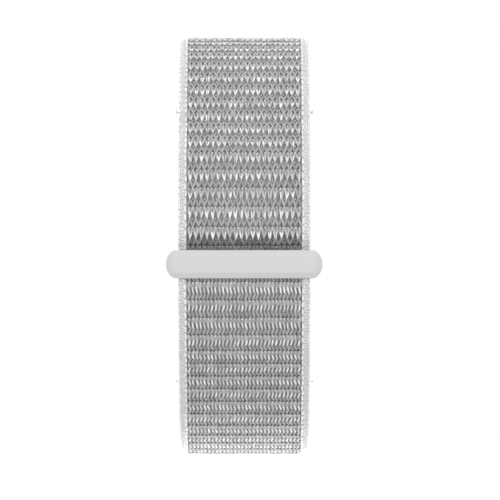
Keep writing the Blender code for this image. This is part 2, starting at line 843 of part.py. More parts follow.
def sliding_tip_profile():
    """Stub and shaft, with the stub at the upper end."""
    end = STRAP_WIDTH / 2 + TIP_REACH
    shoulder = BARREL_LENGTH / 2 - SHAFT_INSET
    return [
        (0.0, end),
        (TIP_RADIUS - TIP_CHAMFER, end),
        (TIP_RADIUS, end - TIP_CHAMFER),
        (TIP_RADIUS, shoulder),
        (PLUG_RADIUS, shoulder),
        (PLUG_RADIUS, shoulder - SHAFT_LENGTH),
        (0.0, shoulder - SHAFT_LENGTH),
    ]


def knob_profile():
    """Head and stem, with the head at the upper end."""
    return [
        (0.0, KNOB_TOP),
        (KNOB_RADIUS - KNOB_EDGE, KNOB_TOP),
        (KNOB_RADIUS, KNOB_TOP - KNOB_EDGE),
        (KNOB_RADIUS, KNOB_FOOT),
        (STEM_RADIUS, KNOB_FOOT),
        (STEM_RADIUS, PLUG_RADIUS + STEM_FOOT_GAP),
        (0.0, PLUG_RADIUS + STEM_FOOT_GAP),
    ]


def coil_points():
    """Points of the coil spring, from the fixed tip's plug to the sliding tip's shaft."""
    low = -BARREL_LENGTH / 2 + PLUG_LENGTH + COIL_END_GAP + WIRE_RADIUS
    high = BARREL_LENGTH / 2 - SHAFT_INSET - SHAFT_LENGTH - COIL_END_GAP - WIRE_RADIUS
    count = COIL_TURNS * COIL_POINTS_PER_TURN
    points = []
    for step in range(count + 1):
        angle = FULL_TURN * step / COIL_POINTS_PER_TURN
        height = low + (high - low) * step / count
        points.append(Vector((COIL_RADIUS * math.cos(angle), COIL_RADIUS * math.sin(angle), height)))
    return points


def least_gap(points):
    """Smallest clear distance between one turn of the wire and the next."""
    apart = COIL_POINTS_PER_TURN
    pairs = zip(points, points[apart:])
    return min((second - first).length for first, second in pairs) - 2 * WIRE_RADIUS


def make_spring(name):
    """One unbroken coil of wire."""
    points = coil_points()
    curve = bpy.data.curves.new(name, "CURVE")
    curve.dimensions = "3D"
    curve.bevel_depth = WIRE_RADIUS
    curve.bevel_resolution = 1
    curve.use_fill_caps = True
    spline = curve.splines.new("POLY")
    spline.points.add(len(points) - 1)
    for corner, point in zip(spline.points, points):
        corner.co = (*point, 1)
    spring = bpy.data.objects.new(name, curve)
    parts.objects.link(spring)
    give_material(spring, STEEL)
    print(f"{name}: least gap between turns {least_gap(points) / MM:.2f} mm")
    return spring


clear_scene()
parts = new_collection("hook_and_loop_watch_strap")
tools = new_collection("cutters_and_joined_pieces")

tail_path, tail_hinge, tail_top, steep_slope = lay_tail()
end_hinge = tail_top - TAIL_END_BEFORE_TOP
long_path = lay_long_half(steep_slope)
short_path = lay_short_half()

ring_axis = add_axis("ring_pivot_axis", ROD_Y, ROD_Z)
tail_axis = add_axis("tail_lift_axis", *tail_path.at(tail_hinge)[0].yz)
end_axis = add_axis("tail_end_lift_axis", *tail_path.at(end_hinge)[0].yz)
upper_axis = add_axis("upper_bar_axis", 0.0, LUG_Z)
lower_axis = add_axis("lower_bar_axis", 0.0, -LUG_Z)

make_long_half(long_path)
make_fold(tail_path, tail_hinge)
make_tunnel("upper_tunnel", long_path, upper_axis, 1)
for tail_piece in make_tail(tail_path, tail_hinge, end_hinge):
    hang(tail_piece, tail_axis)
for end_piece in make_tail_end(tail_path, end_hinge):
    hang(end_piece, end_axis)
for ring_piece in [make_ring(), *make_short_half(short_path)]:
    hang(ring_piece, ring_axis)
make_tunnel("lower_tunnel", short_path, lower_axis, 1)
make_spring_bar("upper", long_path, upper_axis)
make_spring_bar("lower", short_path, lower_axis)

for label, path in (("tail", tail_path), ("long half", long_path), ("short half", short_path)):
    print(f"{label}: {path.length / MM:.1f} mm along its outer surface")
print(f"tail hinge at y {tail_axis.location.y / MM:.3f}, z {tail_axis.location.z / MM:.3f} mm")
print(f"tail end hinge at y {end_axis.location.y / MM:.3f}, z {end_axis.location.z / MM:.3f} mm")
print(f"ring axis at y {ROD_Y / MM:.3f}, z {ROD_Z / MM:.3f} mm")
print(f"steep slope {math.degrees(steep_slope):.2f} degrees")
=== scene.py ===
# %% [markdown]
# # A woven strap, dressed for its picture
#
# The strap's solids come packed as a fixed frame: plain plies of webbing, a moulded ring and two spring
# bars, each at its real size and place. This notebook puts the real surfaces on them. Almost all that
# shows on such a strap is yarn, so most of the cells below lay yarn on the paths that the plies follow.

# %% The frame
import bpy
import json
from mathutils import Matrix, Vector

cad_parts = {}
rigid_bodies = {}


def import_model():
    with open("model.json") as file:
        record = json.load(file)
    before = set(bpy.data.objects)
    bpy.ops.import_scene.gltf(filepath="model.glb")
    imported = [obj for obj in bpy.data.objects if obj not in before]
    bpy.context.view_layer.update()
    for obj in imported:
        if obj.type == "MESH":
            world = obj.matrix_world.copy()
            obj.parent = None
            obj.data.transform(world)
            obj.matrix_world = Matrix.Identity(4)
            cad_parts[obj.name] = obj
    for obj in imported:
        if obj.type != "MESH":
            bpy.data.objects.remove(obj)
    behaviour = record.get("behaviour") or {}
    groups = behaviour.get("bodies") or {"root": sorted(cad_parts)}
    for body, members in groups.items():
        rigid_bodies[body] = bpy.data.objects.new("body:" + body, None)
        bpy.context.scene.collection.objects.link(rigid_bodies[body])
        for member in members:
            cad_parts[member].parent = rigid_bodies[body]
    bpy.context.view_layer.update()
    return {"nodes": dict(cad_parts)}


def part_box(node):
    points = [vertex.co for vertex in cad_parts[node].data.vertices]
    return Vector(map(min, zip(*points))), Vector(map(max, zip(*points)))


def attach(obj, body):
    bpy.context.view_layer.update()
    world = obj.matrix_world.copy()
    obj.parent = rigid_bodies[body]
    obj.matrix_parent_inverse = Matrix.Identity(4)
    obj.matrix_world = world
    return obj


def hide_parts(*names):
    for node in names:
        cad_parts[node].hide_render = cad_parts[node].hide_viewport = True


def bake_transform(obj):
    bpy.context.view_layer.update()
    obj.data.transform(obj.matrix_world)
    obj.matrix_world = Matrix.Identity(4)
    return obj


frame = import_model()

# %% [markdown]
# Blender measures in metres and turns by radians. Small things are easier to think of in millimetres, so
# lengths are written as a number times MM, and the three turns that come back often have names.

# %% Tools and units
import json
import math

import bmesh
import bpy
import numpy as np
from mathutils import Matrix, Vector

MM = 0.001
FULL_TURN = math.tau
HALF_TURN = math.pi
QUARTER_TURN = math.pi / 2
ACROSS = Vector((1, 0, 0))
print("lengths in metres, angles in radians, X across the strap")

# %% [markdown]
# ## Measures of the webbing
#
# A 22 mm strap is one band of double cloth with a rounded selvedge on both sides. The widths could be
# typed in, but they are read from the solids, so they always agree with them. The weave's own measures
# follow the photograph: ribs 3.4 mm apart, about 20 pairs of floats across the tail and about 30 single
# floats across the short half.

# %% Measures
BODY_HALF_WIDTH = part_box("short_strap_face")[1].x
RIM_LOW, RIM_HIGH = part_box("long_strap_edge_right")
STRAP_HALF_WIDTH = RIM_HIGH.x
RIM_INNER_X = RIM_LOW.x
RIM_WIDTH = STRAP_HALF_WIDTH - RIM_INNER_X
WEBBING = 2.0 * MM
RIB_PITCH = 3.4 * MM
PAIRED_COLUMNS = 40
SINGLE_COLUMNS = 30
print(f"strap {2 * STRAP_HALF_WIDTH / MM:.1f} mm wide, rim {RIM_WIDTH / MM:.1f} mm")

# %% [markdown]
# ## The line that the webbing follows
#
# Every yarn needs to know where it lies along the strap. The frame's plies were swept along a line in
# the side view, so that line can be read back from a ply: its right-hand side is a flat strip, and the
# strip's border is the outer line, the inner line and two short ends. Reading the line is safer than
# repeating the numbers, because it always agrees with the solids.

# %% Reading a ply's border
SIDE_SLACK = 0.01 * MM
DECIMALS = 7


def border_of_side(node):
    """Points (y, z) round the right-hand side of a ply, in order."""
    mesh = frame["nodes"][node].data
    side = max(corner.co.x for corner in mesh.vertices) - SIDE_SLACK
    border = set()
    for face in mesh.polygons:
        corners = [mesh.vertices[number].co for number in face.vertices]
        if all(corner.x > side for corner in corners):
            keys = [(round(corner.y, DECIMALS), round(corner.z, DECIMALS)) for corner in corners]
            for pair in zip(keys, keys[1:] + keys[:1]):
                border ^= {frozenset(pair)}
    nexts = {}
    for pair in border:
        for point, other in (tuple(pair), tuple(pair)[::-1]):
            nexts.setdefault(point, []).append(other)
    loop = [min(nexts)]
    while True:
        onward = [point for point in nexts[loop[-1]] if point not in loop[-2:]]
        if not onward or onward[0] == loop[0]:
            return [Vector(point) for point in loop]
        loop.append(onward[0])


print("points round a ply's side:", len(border_of_side("tail_backing")))

# %% [markdown]
# The border turns sharply at four corners, and they part it into two long chains and two short ones. The
# long ones are the outer and the inner line, and the outer one is the one that lies on the outward side
# of the other. The short ones are the ply's two ends, and aren't needed.

# %% Reading a ply's outer line
CORNER_TURN = math.radians(60)


def outer_line(node, start):
    """Points along a ply's outer surface, from the end that lies nearer to start."""
    loop = border_of_side(node)
    count = len(loop)
    corners = []
    for number in range(count):
        before = loop[number] - loop[number - 1]
        after = loop[(number + 1) % count] - loop[number]
        if before.angle(after) > CORNER_TURN:
            corners.append(number)
    chains = []
    for first, last in zip(corners, corners[1:] + [corners[0] + count]):
        chain = [loop[number % count] for number in range(first, last + 1)]
        nearer = (chain[0] - start).length < (chain[-1] - start).length
        chains.append(chain if nearer else chain[::-1])
    first, second = sorted(chains, key=len)[-2:]
    along = first[1] - first[0]
    outward = Vector((-along.y, along.x))
    return first if outward.dot(first[0] - second[0]) > 0 else second


print("points along its outer line:", len(outer_line("tail_backing", Vector((0.0, 0.0)))))

# %% [markdown]
# A path for the yarns needs points at even steps, a little length to spare at both ends, and no corners.
# The line is stretched on past its ends, measured off every quarter millimetre and smoothed by taking
# each point towards its neighbours. It ends up as a curve object, because Geometry Nodes can walk along
# a curve and tell place and direction at any distance.

# %% Making a path
PATH_STEP = 0.25 * MM
SPARE = 7.0 * MM
SPARE_STEP = 0.5 * MM
SMOOTHING_ROUNDS = 4
GUIDES = bpy.data.collections.new("guides")
bpy.context.scene.collection.children.link(GUIDES)


def stretched(points):
    """A row of points with spare length at its end, which turns on as the row did."""
    before, last = points[-2] - points[-3], points[-1] - points[-2]
    turn = 2 * SPARE_STEP * last.angle_signed(before) / (before.length + last.length)
    heading = last.normalized()
    spare = [points[-1]]
    for _ in range(round(SPARE / SPARE_STEP)):
        heading.rotate(Matrix.Rotation(turn, 2))
        spare.append(spare[-1] + heading * SPARE_STEP)
    return points + spare[1:]


def make_path(name, points):
    """A curve along the points, with spare length at both ends. Gives the curve and its own length."""
    points = stretched(stretched(points)[::-1])[::-1]
    points = np.array([tuple(point) for point in points])
    steps = np.linalg.norm(np.diff(points, axis=0), axis=1)
    marks = np.concatenate([[0.0], np.cumsum(steps)])
    count = round(marks[-1] / PATH_STEP) + 1
    even = np.linspace(0.0, marks[-1], count)
    line = np.column_stack([np.interp(even, marks, points[:, axis]) for axis in (0, 1)])
    for _ in range(SMOOTHING_ROUNDS):
        line[1:-1] = (line[:-2] + 2 * line[1:-1] + line[2:]) / 4
    curve = bpy.data.curves.new(name, "CURVE")
    curve.dimensions = "3D"
    spline = curve.splines.new("POLY")
    spline.points.add(count - 1)
    for corner, (y, z) in zip(spline.points, line):
        corner.co = (0.0, y, z, 1.0)
    guide = bpy.data.objects.new(name, curve)
    GUIDES.objects.link(guide)
    guide.hide_render = True
    length = float(np.linalg.norm(np.diff(line, axis=0), axis=1).sum()) - 2 * SPARE
    print(f"{name}: {length / MM:.1f} mm")
    return guide, length


# %% [markdown]
# The strap has three paths. The tail's starts behind the ring's rod, goes round the rod and on to the
# tail's end. The long half's and the short half's run between the ring and the two spring bars. Where a
# later piece has to stand at a certain distance, the place is looked up on the same curve. The lookup
# stops a little short of the last point, because it always needs one more point after its own.

# %% The strap's three paths
STOP_SHORT = 0.001
RING_LOW, RING_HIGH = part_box("ring")
BEHIND_ROD = Vector((RING_HIGH.y, 0.0))


def reach_of(line):
    """Length of a row of points."""
    return sum((second - first).length for first, second in zip(line, line[1:]))


def place_on(guide, distance):
    """Place, direction and outward direction on a path, at a distance from its start."""
    points = guide.data.splines[0].points
    number = min(max((distance + SPARE) / PATH_STEP, 0.0), len(points) - 1 - STOP_SHORT)
    first, second = (points[int(number) + step].co.xyz for step in (0, 1))
    along = (second - first).normalized()
    return first.lerp(second, number % 1), along, ACROSS.cross(along)


fold_line = outer_line("ring_fold_backing", Vector((RING_HIGH.y + WEBBING, RING_LOW.z)))
tail_line = outer_line("tail_backing", fold_line[-1])
end_line = outer_line("tail_end_backing", tail_line[-1])
long_line = outer_line("long_strap_face", BEHIND_ROD)
short_line = outer_line("short_strap_face", Vector((0.0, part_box("lower_tunnel")[0].z)))
TAIL_PATH, TAIL_LENGTH = make_path("tail_path", fold_line + tail_line + end_line)
LONG_PATH, LONG_LENGTH = make_path("long_path", long_line)
SHORT_PATH, SHORT_LENGTH = make_path("short_path", short_line)
HINGE_PLACE = reach_of(fold_line + tail_line[:1])
END_HINGE_PLACE = reach_of(fold_line + tail_line + end_line[:1])
print(f"tail hinge at {HINGE_PLACE / MM:.1f} mm, tail end hinge at {END_HINGE_PLACE / MM:.1f} mm")

# %% [markdown]
# ## Calculating inside a node tree
#
# Node trees are made of many small sums. Written node by node they are hard to read, so this small class
# lets a socket be added and multiplied like a number, and each sign adds its own Math node. The same
# class serves the Geometry Nodes that lay the yarn and the shaders that colour it.

# %% Fields
def plug(tree, value, slot):
    """Link a field to a socket, or write a plain value into it."""
    if isinstance(value, Field):
        tree.links.new(value.socket, slot)
    else:
        slot.default_value = value


class Field:
    """An output inside a node tree, which can be calculated with like a number."""

    def __init__(self, tree, socket):
        self.tree = tree
        self.socket = socket

    def math(self, operation, *others):
        node = self.tree.nodes.new("ShaderNodeMath")
        node.operation = operation
        for slot, value in zip(node.inputs, (self, *others)):
            plug(self.tree, value, slot)
        return Field(self.tree, node.outputs[0])

    def __add__(self, other):
        return self.math("ADD", other)

    def __sub__(self, other):
        return self.math("SUBTRACT", other)

    def __mul__(self, other):
        return self.math("MULTIPLY", other)

    def __truediv__(self, other):
        return self.math("DIVIDE", other)

    def __mod__(self, other):
        return self.math("FLOORED_MODULO", other)

    def __rsub__(self, other):
        return self * -1.0 + other


print("signs that fields understand: + - * / %")

# %% [markdown]
# Every other node is added by one function, which sets the node up, links its inputs by name and gives
# its outputs back as fields. A socket that a node's settings have switched off can share its name with
# one that is in use, so the function takes only the one in use.

# %% Steps
def socket_in_use(slots, name):
    """The socket of that name which the node's settings leave on."""
    return next(slot for slot in slots if slot.name == name and slot.enabled)


class Step:
    """A node in a tree. step["Name"] gives one of its outputs as a field."""

    def __init__(self, tree, node):
        self.tree = tree
        self.node = node

    def __getitem__(self, name):
        return Field(self.tree, socket_in_use(self.node.outputs, name))


def step(tree, kind, values=None, **settings):
    """Add a node, set it up, and link or set its inputs by name."""
    node = tree.nodes.new(kind)
    for setting, value in settings.items():
        setattr(node, setting, value)
    for name, value in (values or {}).items():
        plug(tree, value, socket_in_use(node.inputs, name))
    return Step(tree, node)


def combine(tree, x, y, z):
    """A vector of three numbers or fields."""
    return step(tree, "ShaderNodeCombineXYZ", {"X": x, "Y": y, "Z": z})["Vector"]


def separate(tree, vector):
    """The three numbers of a vector, as a step with X, Y and Z."""
    return step(tree, "ShaderNodeSeparateXYZ", {"Vector": vector})


# %% [markdown]
# ## Bending flat cloth onto the path
#
# Yarn is easiest to lay on a flat table: X runs across the strap, Y along it, and Z stands up from the
# cloth. A tree can then bend the finished table onto the path, point by point. For the cloth's two faces
# the table lies flat against the webbing. For the selvedge the table is rolled round the strap's rim,
# which is half an ellipse. Turning the table over for the inner face, rather than mirroring it, keeps
# every face of the mesh pointing outwards.

# %% Bending
OUTER_FACE, INNER_FACE = 1.0, -1.0
RIGHT_AND_LEFT = (1.0, -1.0)
RIM_ROLL_RADIUS = (RIM_WIDTH + WEBBING / 2) / 2
RIM_ROUND = HALF_TURN * RIM_ROLL_RADIUS


def on_face(place, face):
    """Across and out of a point on the outer face (1) or the inner face (-1)."""
    return place["X"] * face, place["Z"] * face - (1.0 - face) * (WEBBING / 2)


def round_edge(place, side, radius, inner_x, width, thickness):
    """Across and out of a point rolled round the right edge (1) or the left edge (-1) of a cloth."""
    turn = (1.0 - side) * QUARTER_TURN + place["X"] * side / radius
    across = side * ((place["Z"] + width) * turn.math("SINE") + inner_x)
    return across, (place["Z"] + thickness / 2) * turn.math("COSINE") - thickness / 2


def round_rim(place, side):
    """Across and out of a point rolled round the strap's rim."""
    return round_edge(place, side, RIM_ROLL_RADIUS, RIM_INNER_X, RIM_WIDTH, WEBBING)


def bend(tree, given, table, mapping):
    """Move every point of the flat table to its place on the path."""
    place = separate(tree, step(tree, "GeometryNodeInputPosition")["Position"])
    across, out = mapping(place, given["Face"])
    path = step(tree, "GeometryNodeObjectInfo", {"Object": given["Path"]})["Geometry"]
    values = {"Curves": path, "Length": place["Y"] + SPARE}
    sample = step(tree, "GeometryNodeSampleCurve", values, mode="LENGTH")
    point = separate(tree, sample["Position"])
    along = separate(tree, sample["Tangent"])
    goal = combine(tree, across, point["Y"] - along["Z"] * out, point["Z"] + along["Y"] * out)
    return step(tree, "GeometryNodeSetPosition", {"Geometry": table, "Position": goal})["Geometry"]


print(f"a rim is {RIM_ROUND / MM:.1f} mm round")

# %% [markdown]
# All the trees start and end alike. They take in what earlier layers made, with named inputs for their
# own sizes. They end by joining their yarn to it, making real copies of all instances and giving
# everything its material, because a mesh that leaves Blender can't hold instances.

# %% Beginning and ending a tree
def begin_tree(name, numbers, counts):
    """A new tree with named inputs. Gives the tree and its inputs."""
    tree = bpy.data.node_groups.new(name, "GeometryNodeTree")
    kinds = {"Geometry": "Geometry", "Path": "Object"}
    kinds.update({number: "Float" for number in numbers})
    kinds.update({count: "Int" for count in counts})
    kinds["Material"] = "Material"
    for label, kind in kinds.items():
        tree.interface.new_socket(label, in_out="INPUT", socket_type="NodeSocket" + kind)
    tree.interface.new_socket("Geometry", in_out="OUTPUT", socket_type="NodeSocketGeometry")
    return tree, Step(tree, tree.nodes.new("NodeGroupInput"))


def stored(tree, geometry, name, value, kind="FLOAT", domain="POINT"):
    """The geometry with a value written onto it as a named attribute."""
    values = {"Geometry": geometry, "Name": name, "Value": value}
    return step(tree, "GeometryNodeStoreNamedAttribute", values, data_type=kind, domain=domain)["Geometry"]


def end_tree(tree, given, table):
    """Join the new surface to what came in, and give everything the material."""
    smooth = step(tree, "GeometryNodeSetShadeSmooth", {"Geometry": table})["Geometry"]
    join = tree.nodes.new("GeometryNodeJoinGeometry")
    for part in (smooth, given["Geometry"]):
        tree.links.new(part.socket, join.inputs[0])
    whole = step(tree, "GeometryNodeRealizeInstances", {"Geometry": Field(tree, join.outputs[0])})["Geometry"]
    dressed = step(tree, "GeometryNodeSetMaterial", {"Geometry": whole, "Material": given["Material"]})
    tree.links.new(dressed["Geometry"].socket, tree.nodes.new("NodeGroupOutput").inputs[0])


# %% [markdown]
# ## The tree that lays short pieces of yarn
#
# On a woven face every warp thread shows for a millimetre or so and then dives under a weft thread. Each
# such float is a small spindle of yarn: a squashed ball of two dozen faces is enough, since hundreds lie
# side by side. The ball's own coordinates are stored on it before it is stretched, so that the material
# can twist its plies along it later.

# %% One float
SPINDLE_SIDES = 6
SPINDLE_RINGS = 4


def spindle(tree, given):
    """A unit spindle along Y, thicker towards its far end by the taper."""
    values = {"Segments": SPINDLE_SIDES, "Rings": SPINDLE_RINGS, "Radius": 1.0}
    ball = step(tree, "GeometryNodeMeshUVSphere", values)["Mesh"]
    laid = step(tree, "GeometryNodeTransform", {"Geometry": ball, "Rotation": (QUARTER_TURN, 0.0, 0.0)})
    position = step(tree, "GeometryNodeInputPosition")["Position"]
    marked = stored(tree, laid["Geometry"], "fibre", position, "FLOAT_VECTOR")
    place = separate(tree, position)
    swell = place["Y"] * given["Taper"] + 1.0
    goal = combine(tree, place["X"] * swell, place["Y"], place["Z"] * swell)
    return step(tree, "GeometryNodeSetPosition", {"Geometry": marked, "Position": goal})["Geometry"]


print("faces of one float:", SPINDLE_SIDES * SPINDLE_RINGS)

# %% [markdown]
# One tree lays all the yarn, and its inputs say how. A small random share in place, size and tone keeps
# the cloth from looking printed. The seed is an input too, so each run is the same, and every matter that
# is left to chance adds a number of its own to it, or wide yarn would always be long yarn as well.

# %% Inputs and chances of the yarn tree
YARN_NUMBERS = (
    "First", "Row pitch", "Middle", "Column pitch", "Row shift", "Column shift", "Squeeze",
    "Length", "Width", "Thickness", "Height", "Slant", "Row swap", "Column swap", "Taper",
    "Tone", "Tone spread", "Looseness", "Face", "Gap start", "Gap end", "Gap left", "Gap right",
)
YARN_COUNTS = ("Rows", "Columns", "Seed")
CHANCES = ("across", "along", "height", "lean", "width", "length", "tone")


def chance(tree, given, matter):
    """A random number from -1 to 1 for each point, another one for each matter."""
    index = step(tree, "GeometryNodeInputIndex")["Index"]
    seed = given["Seed"] + float(1 + CHANCES.index(matter))
    values = {"Min": -1.0, "Max": 1.0, "ID": index, "Seed": seed}
    return step(tree, "FunctionNodeRandomValue", values, data_type="FLOAT")["Value"]


print(f"{len(YARN_NUMBERS) + len(YARN_COUNTS)} inputs describe one layer of yarn")

# %% [markdown]
# The tree starts with nothing but numbered points. A point's number, divided by the count of columns,
# gives its row, and what is left over gives its column. From those two follow its place, its lean and its
# size. Points inside the gap get no yarn, which later leaves a window free. The finished table is bent
# onto the path last of all.

# %% Laying yarn in rows and columns
ROUNDING_HELP = 0.0001
LOOSE_ALONG_SHARE = 0.2


def yarn_tree(name, mapping, shape=spindle):
    """The tree for rows of yarn, bent by one of the mappings."""
    tree, given = begin_tree(name, YARN_NUMBERS, YARN_COUNTS)
    index = step(tree, "GeometryNodeInputIndex")["Index"]
    row = (index / given["Columns"] + ROUNDING_HELP).math("FLOOR")
    column = index - row * given["Columns"]
    odd_row = row % 2.0
    odd_column = column % 2.0

    def loosely(matter):
        return given["Looseness"] * chance(tree, given, matter)

    def between(place, low, high):
        past_low = (place - given[low]).math("GREATER_THAN", 0.0)
        return past_low * (given[high] - place).math("GREATER_THAN", 0.0)

    steps_across = column - (given["Columns"] - 1.0) / 2.0
    steps_across = steps_across + given["Row shift"] * (odd_row - 0.5)
    steps_across = steps_across + given["Squeeze"] * (0.5 - odd_column)
    steps_across = steps_across + loosely("across")
    x = given["Middle"] + steps_across * given["Column pitch"]
    steps_along = row + given["Column shift"] * odd_column + loosely("along") * LOOSE_ALONG_SHARE
    y = given["First"] + steps_along * given["Row pitch"]
    z = given["Height"] + given["Thickness"] * chance(tree, given, "height") * given["Looseness"]
    values = {"Count": given["Rows"] * given["Columns"], "Position": combine(tree, x, y, z)}
    spots = step(tree, "GeometryNodePoints", values)["Points"]
    in_gap = between(x, "Gap left", "Gap right") * between(y, "Gap start", "Gap end")

    swap = (1.0 - given["Row swap"] * odd_row * 2.0) * (1.0 - given["Column swap"] * odd_column * 2.0)
    lean = given["Slant"] * swap + loosely("lean")
    turn = step(tree, "FunctionNodeEulerToRotation", {"Euler": combine(tree, 0.0, 0.0, lean * -1.0)})
    half_width = given["Width"] / 2.0 * (loosely("width") + 1.0)
    half_length = given["Length"] / 2.0 * (loosely("length") + 1.0)
    values = {
        "Points": spots, "Selection": in_gap.math("LESS_THAN", 0.5), "Instance": shape(tree, given),
        "Rotation": turn["Rotation"],
        "Scale": combine(tree, half_width, half_length, given["Thickness"] / 2.0),
    }
    copies = step(tree, "GeometryNodeInstanceOnPoints", values)["Instances"]
    tone = given["Tone"] + given["Tone spread"] * chance(tree, given, "tone")
    toned = stored(tree, copies, "tone", tone, domain="INSTANCE")
    table = step(tree, "GeometryNodeRealizeInstances", {"Geometry": toned})["Geometry"]
    end_tree(tree, given, bend(tree, given, table, mapping))
    return tree


FACE_YARN = yarn_tree("yarn_on_a_face", on_face)
RIM_YARN = yarn_tree("yarn_round_a_rim", round_rim)
print("yarn trees:", len(FACE_YARN.nodes), "nodes each")

# %% [markdown]
# ## The tree for the cloth's core
#
# Behind the floats lie the weft and the rest of the warp, packed so tightly that they read as one dark
# ground. A slab with a soft rib relief stands in for them, and it also closes the piece. The same tree,
# rolled round the rim, makes the filling of the selvedge.

# %% The core tree
CORE_NUMBERS = ("First", "Last", "Middle", "Width", "Top", "Bottom", "Relief", "Relief first", "Tone", "Face")
CORE_COUNTS = ("Steps across", "Steps along")


def core_tree(name, mapping):
    """The tree for a slab between two heights, bent by one of the mappings."""
    tree, given = begin_tree(name, CORE_NUMBERS, CORE_COUNTS)
    size = combine(tree, given["Width"], given["Last"] - given["First"], given["Top"] - given["Bottom"])
    counts = {"Vertices X": given["Steps across"] + 1.0, "Vertices Y": given["Steps along"] + 1.0}
    cube = step(tree, "GeometryNodeMeshCube", {"Size": size, "Vertices Z": 2, **counts})["Mesh"]
    place = separate(tree, step(tree, "GeometryNodeInputPosition")["Position"])
    y = place["Y"] + (given["First"] + given["Last"]) / 2.0
    wave = ((y - given["Relief first"]) * (FULL_TURN / RIB_PITCH)).math("COSINE") * given["Relief"]
    z = place["Z"] + (given["Top"] + given["Bottom"]) / 2.0 + wave * place["Z"].math("SIGN")
    goal = combine(tree, place["X"] + given["Middle"], y, z)
    slab = step(tree, "GeometryNodeSetPosition", {"Geometry": cube, "Position": goal})["Geometry"]
    toned = stored(tree, slab, "tone", given["Tone"])
    end_tree(tree, given, bend(tree, given, toned, mapping))
    return tree


FACE_CORE = core_tree("core_between_faces", on_face)
RIM_CORE = core_tree("core_round_a_rim", round_rim)
print("core trees:", len(FACE_CORE.nodes), "nodes in the flat one")

# %% [markdown]
# A piece of cloth is then a stack of modifiers on one object, one for each kind of yarn in it. Once the
# stack is right, the evaluated result is kept as a plain mesh, so nothing has to be worked out again.
# What a layer doesn't say it takes from the plain values.

# %% Making a piece from layers
PLAIN = {
    "Middle": 0.0, "Row shift": 0.0, "Column shift": 0.0, "Squeeze": 0.0, "Slant": 0.0, "Row swap": 0.0,
    "Column swap": 0.0, "Taper": 0.0, "Tone spread": 0.08, "Looseness": 0.08, "Face": OUTER_FACE,
    "Relief": 0.0, "Relief first": 0.0, "Gap start": 0.0, "Gap end": 0.0, "Gap left": 0.0, "Gap right": 0.0,
}


def own(item):
    """Link a finished object to the scene, and give it back."""
    bpy.context.scene.collection.objects.link(item)
    return item


def keep_result(item):
    """Put what an object's modifiers make in place of its mesh, and remove them. Gives the mesh."""
    bpy.context.view_layer.update()
    mesh = bpy.data.meshes.new_from_object(item.evaluated_get(bpy.context.evaluated_depsgraph_get()))
    item.modifiers.clear()
    item.data = mesh
    return mesh


def woven(name, path, material, layers, core=None):
    """An object made by a stack of tree layers, each a tree and its inputs, round a core if one is given."""
    item = core or own(bpy.data.objects.new(name, bpy.data.meshes.new(name)))
    item.name = name
    for tree, inputs in layers:
        modifier = item.modifiers.new(tree.name, "NODES")
        modifier.node_group = tree
        values = {**PLAIN, **inputs, "Path": path, "Material": material}
        for socket in tree.interface.items_tree:
            if socket.in_out == "INPUT" and socket.name != "Geometry":
                modifier[socket.identifier] = values[socket.name]
    mesh = keep_result(item)
    mesh.name = name
    triangles = sum(len(face.vertices) - 2 for face in mesh.polygons)
    print(f"{name}: {triangles} triangles")
    return item


# %% [markdown]
# ## Materials
#
# Every material of the strap is one shader with three things added: noise that reads Object coordinates,
# so it has its real size on each piece, a colour that a field makes a little darker or lighter, and a
# bump for the finest relief. Each of them is a small function, so the materials themselves stay short.

# %% Tools for materials
WHITE = (1.0, 1.0, 1.0)
NOISE_DETAIL = 3.0


def base_material(name, roughness, **values):
    """A new material with its shader's sockets set. Gives the material, its tree and the shader."""
    material = bpy.data.materials.new(name)
    material.use_nodes = True
    shader = Step(material.node_tree, material.node_tree.nodes["Principled BSDF"])
    shader.node.inputs["Roughness"].default_value = roughness
    for label, value in values.items():
        shader.node.inputs[label.replace("_", " ")].default_value = value
    return material, material.node_tree, shader


def noise(tree, scale, detail=NOISE_DETAIL, place=None):
    """Noise from 0 to 1, on Object coordinates if no other place is given."""
    if place is None:
        place = step(tree, "ShaderNodeTexCoord")["Object"]
    return step(tree, "ShaderNodeTexNoise", {"Vector": place, "Scale": scale, "Detail": detail})["Fac"]


def varied(field, spread):
    """A strength near 1 that a field moves up and down by a spread."""
    return field * spread + (1.0 - spread / 2)


def coloured(tree, shader, tint, strength):
    """Colour the shader with a tint that a field makes darker or lighter."""
    values = {"Vector": tint, "Scale": strength}
    colour = step(tree, "ShaderNodeVectorMath", values, operation="SCALE")["Vector"]
    plug(tree, colour, shader.node.inputs["Base Color"])


def bumped(tree, shader, strength, depth, height):
    """Let a field raise and lower the surface."""
    values = {"Strength": strength, "Distance": depth, "Height": height}
    plug(tree, step(tree, "ShaderNodeBump", values)["Normal"], shader.node.inputs["Normal"])


# %% [markdown]
# Polyester yarn is matt with a faint sheen at grazing angles, and its plies twist round each other. The
# shade of each piece of yarn was stored by the tree as the attribute tone, so one material serves the
# white floats and the grey ground alike. The twist reads the spindle's own coordinates, so it follows
# every float whichever way that leans. It sinks the grooves between the plies with a bump, and paints
# them a little darker as painted shade.

# %% Yarn materials
YARN_ROUGHNESS = 0.85
YARN_SHEEN = 0.6
YARN_SHEEN_ROUGHNESS = 0.4
TWIST_PLIES = 2.0
TWIST_TURNS = 7.0
PLY_GROOVE_PAINTED_SHADE = 0.06
MOTTLE_SCALE = 2600.0
MOTTLE_SHADE = 0.3
FUZZ_SCALE = 3 * MOTTLE_SCALE
YARN_BUMP = 0.35
YARN_BUMP_DEPTH = 0.03 * MM


